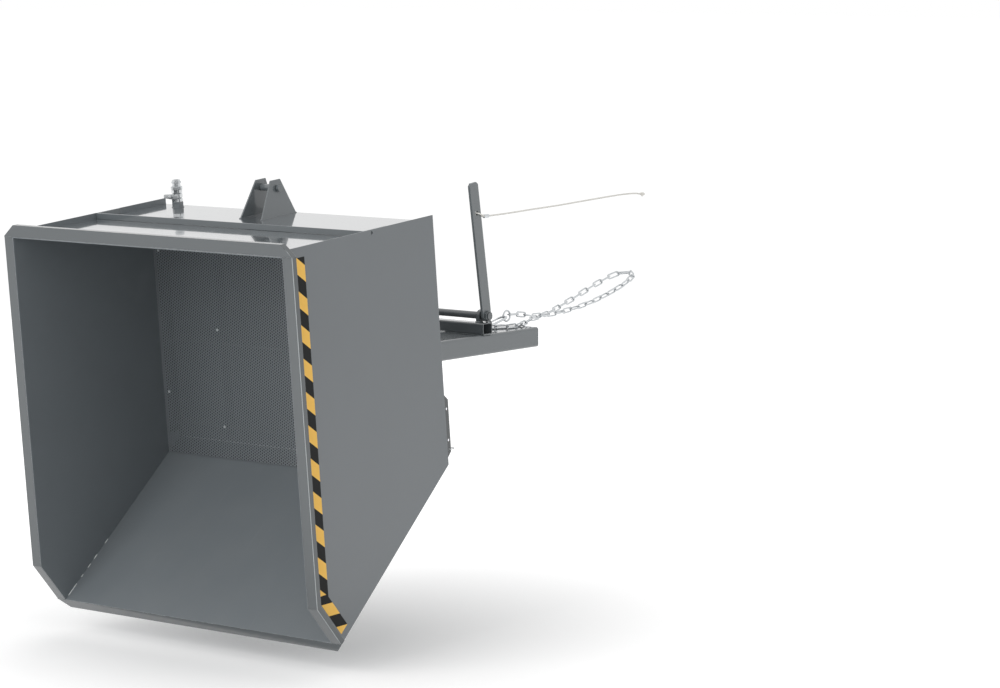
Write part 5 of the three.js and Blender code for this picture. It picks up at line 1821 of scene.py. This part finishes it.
@dataclass
class SafetyChain:
    """The chain that ties the frame down: round-wire links laid nose to tail."""

    shop: Workshop
    wire: float = 3.0
    inner_length: float = 44.2
    inner_width: float = 10.0
    pitch: float = 44.2
    bite: float = 1.2
    gap: float = 0.3
    bends: int = 20
    section: int = 10
    samples: int = 60
    detail: int = 200
    quarter: float = 90.0
    last_roll: float = 45.0
    ring_hold: float = 14.6
    ring_aim: Point = (97, 270, 66)
    near_route: tuple[Point, ...] = (
        (60, 270, 55), (0, 270, 43), (-60, 270, 40), (-140, 270, 41), (-235, 270, 48),
        (-336, 270, 61), (-437, 270, 82), (-538, 270, 111),
    )
    far_route: tuple[Point, ...] = (
        (-600, 262, 132), (-634, 238, 143), (-637, 204, 144), (-606, 178, 137), (-556, 170, 122),
        (-500, 170, 108), (-440, 170, 90), (-369, 170, 68), (-290, 174, 48), (-210, 188, 33), (-130, 206, 26),
        (-62, 216, 22),
    )
    pile_route: tuple[Point, ...] = (
        (-20, 226, 15), (20, 240, 13.6), (68, 250, 13.4), (118, 240, 13.4), (154, 206, 13.4),
        (150, 166, 13.4), (112, 142, 13.4), (66, 144, 13.4),
    )

    def build(self) -> None:
        """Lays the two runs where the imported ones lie."""
        route = [self._first_joint(), *self.near_route, *self.far_route]
        count, end = self._lay("safety_chain", route, 0.0, self.last_roll)
        slack_start = end - Vector((self.bite + 2 * self.gap, 0, 0))
        roll = self.last_roll + (count % 2) * self.quarter
        self._lay("chain_slack", [slack_start, *self.pile_route], roll, roll)

    def _first_joint(self) -> Vector:
        """Where the first link hangs in the ring: on the ring's far side, towards the chain's aim.

        Returns:
            The place, in millimetres.
        """
        low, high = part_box("chain_ring")
        middle = (low + high) / 2 / MM
        toward = Vector(self.ring_aim) - middle
        toward.y = 0
        return middle + toward.normalized() * self.ring_hold

    def _link(self) -> bmesh.types.BMesh:
        """One link about the origin, standing in X and Y.

        Returns:
            A closed bmesh, in millimetres.
        """
        radius = self.inner_width / 2 + self.wire
        half_step = math.pi / self.bends
        stretch = self.inner_length / 2 - (self.inner_width / 2) * math.cos(half_step)
        link = bmesh.new()
        wire = bmesh.ops.create_circle(link, segments=self.section, radius=self.wire)["verts"]
        bmesh.ops.rotate(link, verts=wire, cent=(0, 0, 0), matrix=Matrix.Rotation(math.pi / 2, 3, "X"))
        bmesh.ops.translate(link, verts=wire, vec=(radius, 0, 0))
        bmesh.ops.spin(link, geom=link.verts[:] + link.edges[:], cent=(0, 0, 0), axis=(0, 0, 1),
                       angle=FULL_TURN, steps=self.bends, use_merge=True)
        bmesh.ops.remove_doubles(link, verts=link.verts[:], dist=FINE_MERGE / MM)
        bmesh.ops.rotate(link, verts=link.verts[:], cent=(0, 0, 0), matrix=Matrix.Rotation(half_step, 3, "Z"))
        for vert in link.verts:
            vert.co.x += math.copysign(stretch, vert.co.x)
        bmesh.ops.recalc_face_normals(link, faces=link.faces[:])
        return link

    def _lay(self, node: str, route: Sequence[Sequence[float]], first_roll: float,
             last_roll: float) -> tuple[int, Vector]:
        """Lays links along a route, each turned a quarter from the last.

        Args:
            node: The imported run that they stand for.
            route: Its points.
            first_roll: The first link's roll in degrees.
            last_roll: The roll that the run twists to.

        Returns:
            The number of links and where the last one ends.
        """
        curve = SmoothRoute(route)
        fine = curve.spaced(len(curve.points) * self.samples, detail=self.detail)
        joints = [fine[0]]
        for last, here in zip(fine, fine[1:]):
            before, after = (last - joints[-1]).length, (here - joints[-1]).length
            if after >= self.pitch:
                joints.append(last.lerp(here, (self.pitch - before) / (after - before)))
        run = bmesh.new()
        for index, (start, stop) in enumerate(zip(joints, joints[1:])):
            along = (stop - start).normalized()
            side = Vector((0, 0, 1)).cross(along).normalized()
            turn = Matrix((along, side, along.cross(side))).transposed().to_4x4()
            twist = (last_roll - first_roll) * index / (len(joints) - 1)
            roll = Matrix.Rotation(math.radians(first_roll + twist + (index % 2) * self.quarter), 4, "X")
            place = Matrix.Translation((start + stop) / 2) @ turn @ roll
            append(run, self._link(), Matrix.Scale(MM, 4) @ place)
        made = self.shop.piece(f"{node}_plated", run, Body.FRAME, Coat.ZINC, weighted=False)
        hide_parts(node)
        return len(joints) - 1, joints[-1]


def main() -> None:
    """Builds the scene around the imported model."""
    logging.basicConfig(level=logging.INFO, format="%(name)s: %(message)s")
    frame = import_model()
    PhotoView().build()
    Studio().build()
    shop = Workshop(frame)
    place = HopperFrame()
    ReleaseRope(shop).build()
    SafetyChain(shop).build()
    HopperShell(shop, place).build()
    Strainer(shop, place).build()
    EdgeTape(shop, place).build()
    Drain(shop).build()
    ForkFrame(shop).build()
    Welds(shop, place).build()


if __name__ == "__main__":
    main()
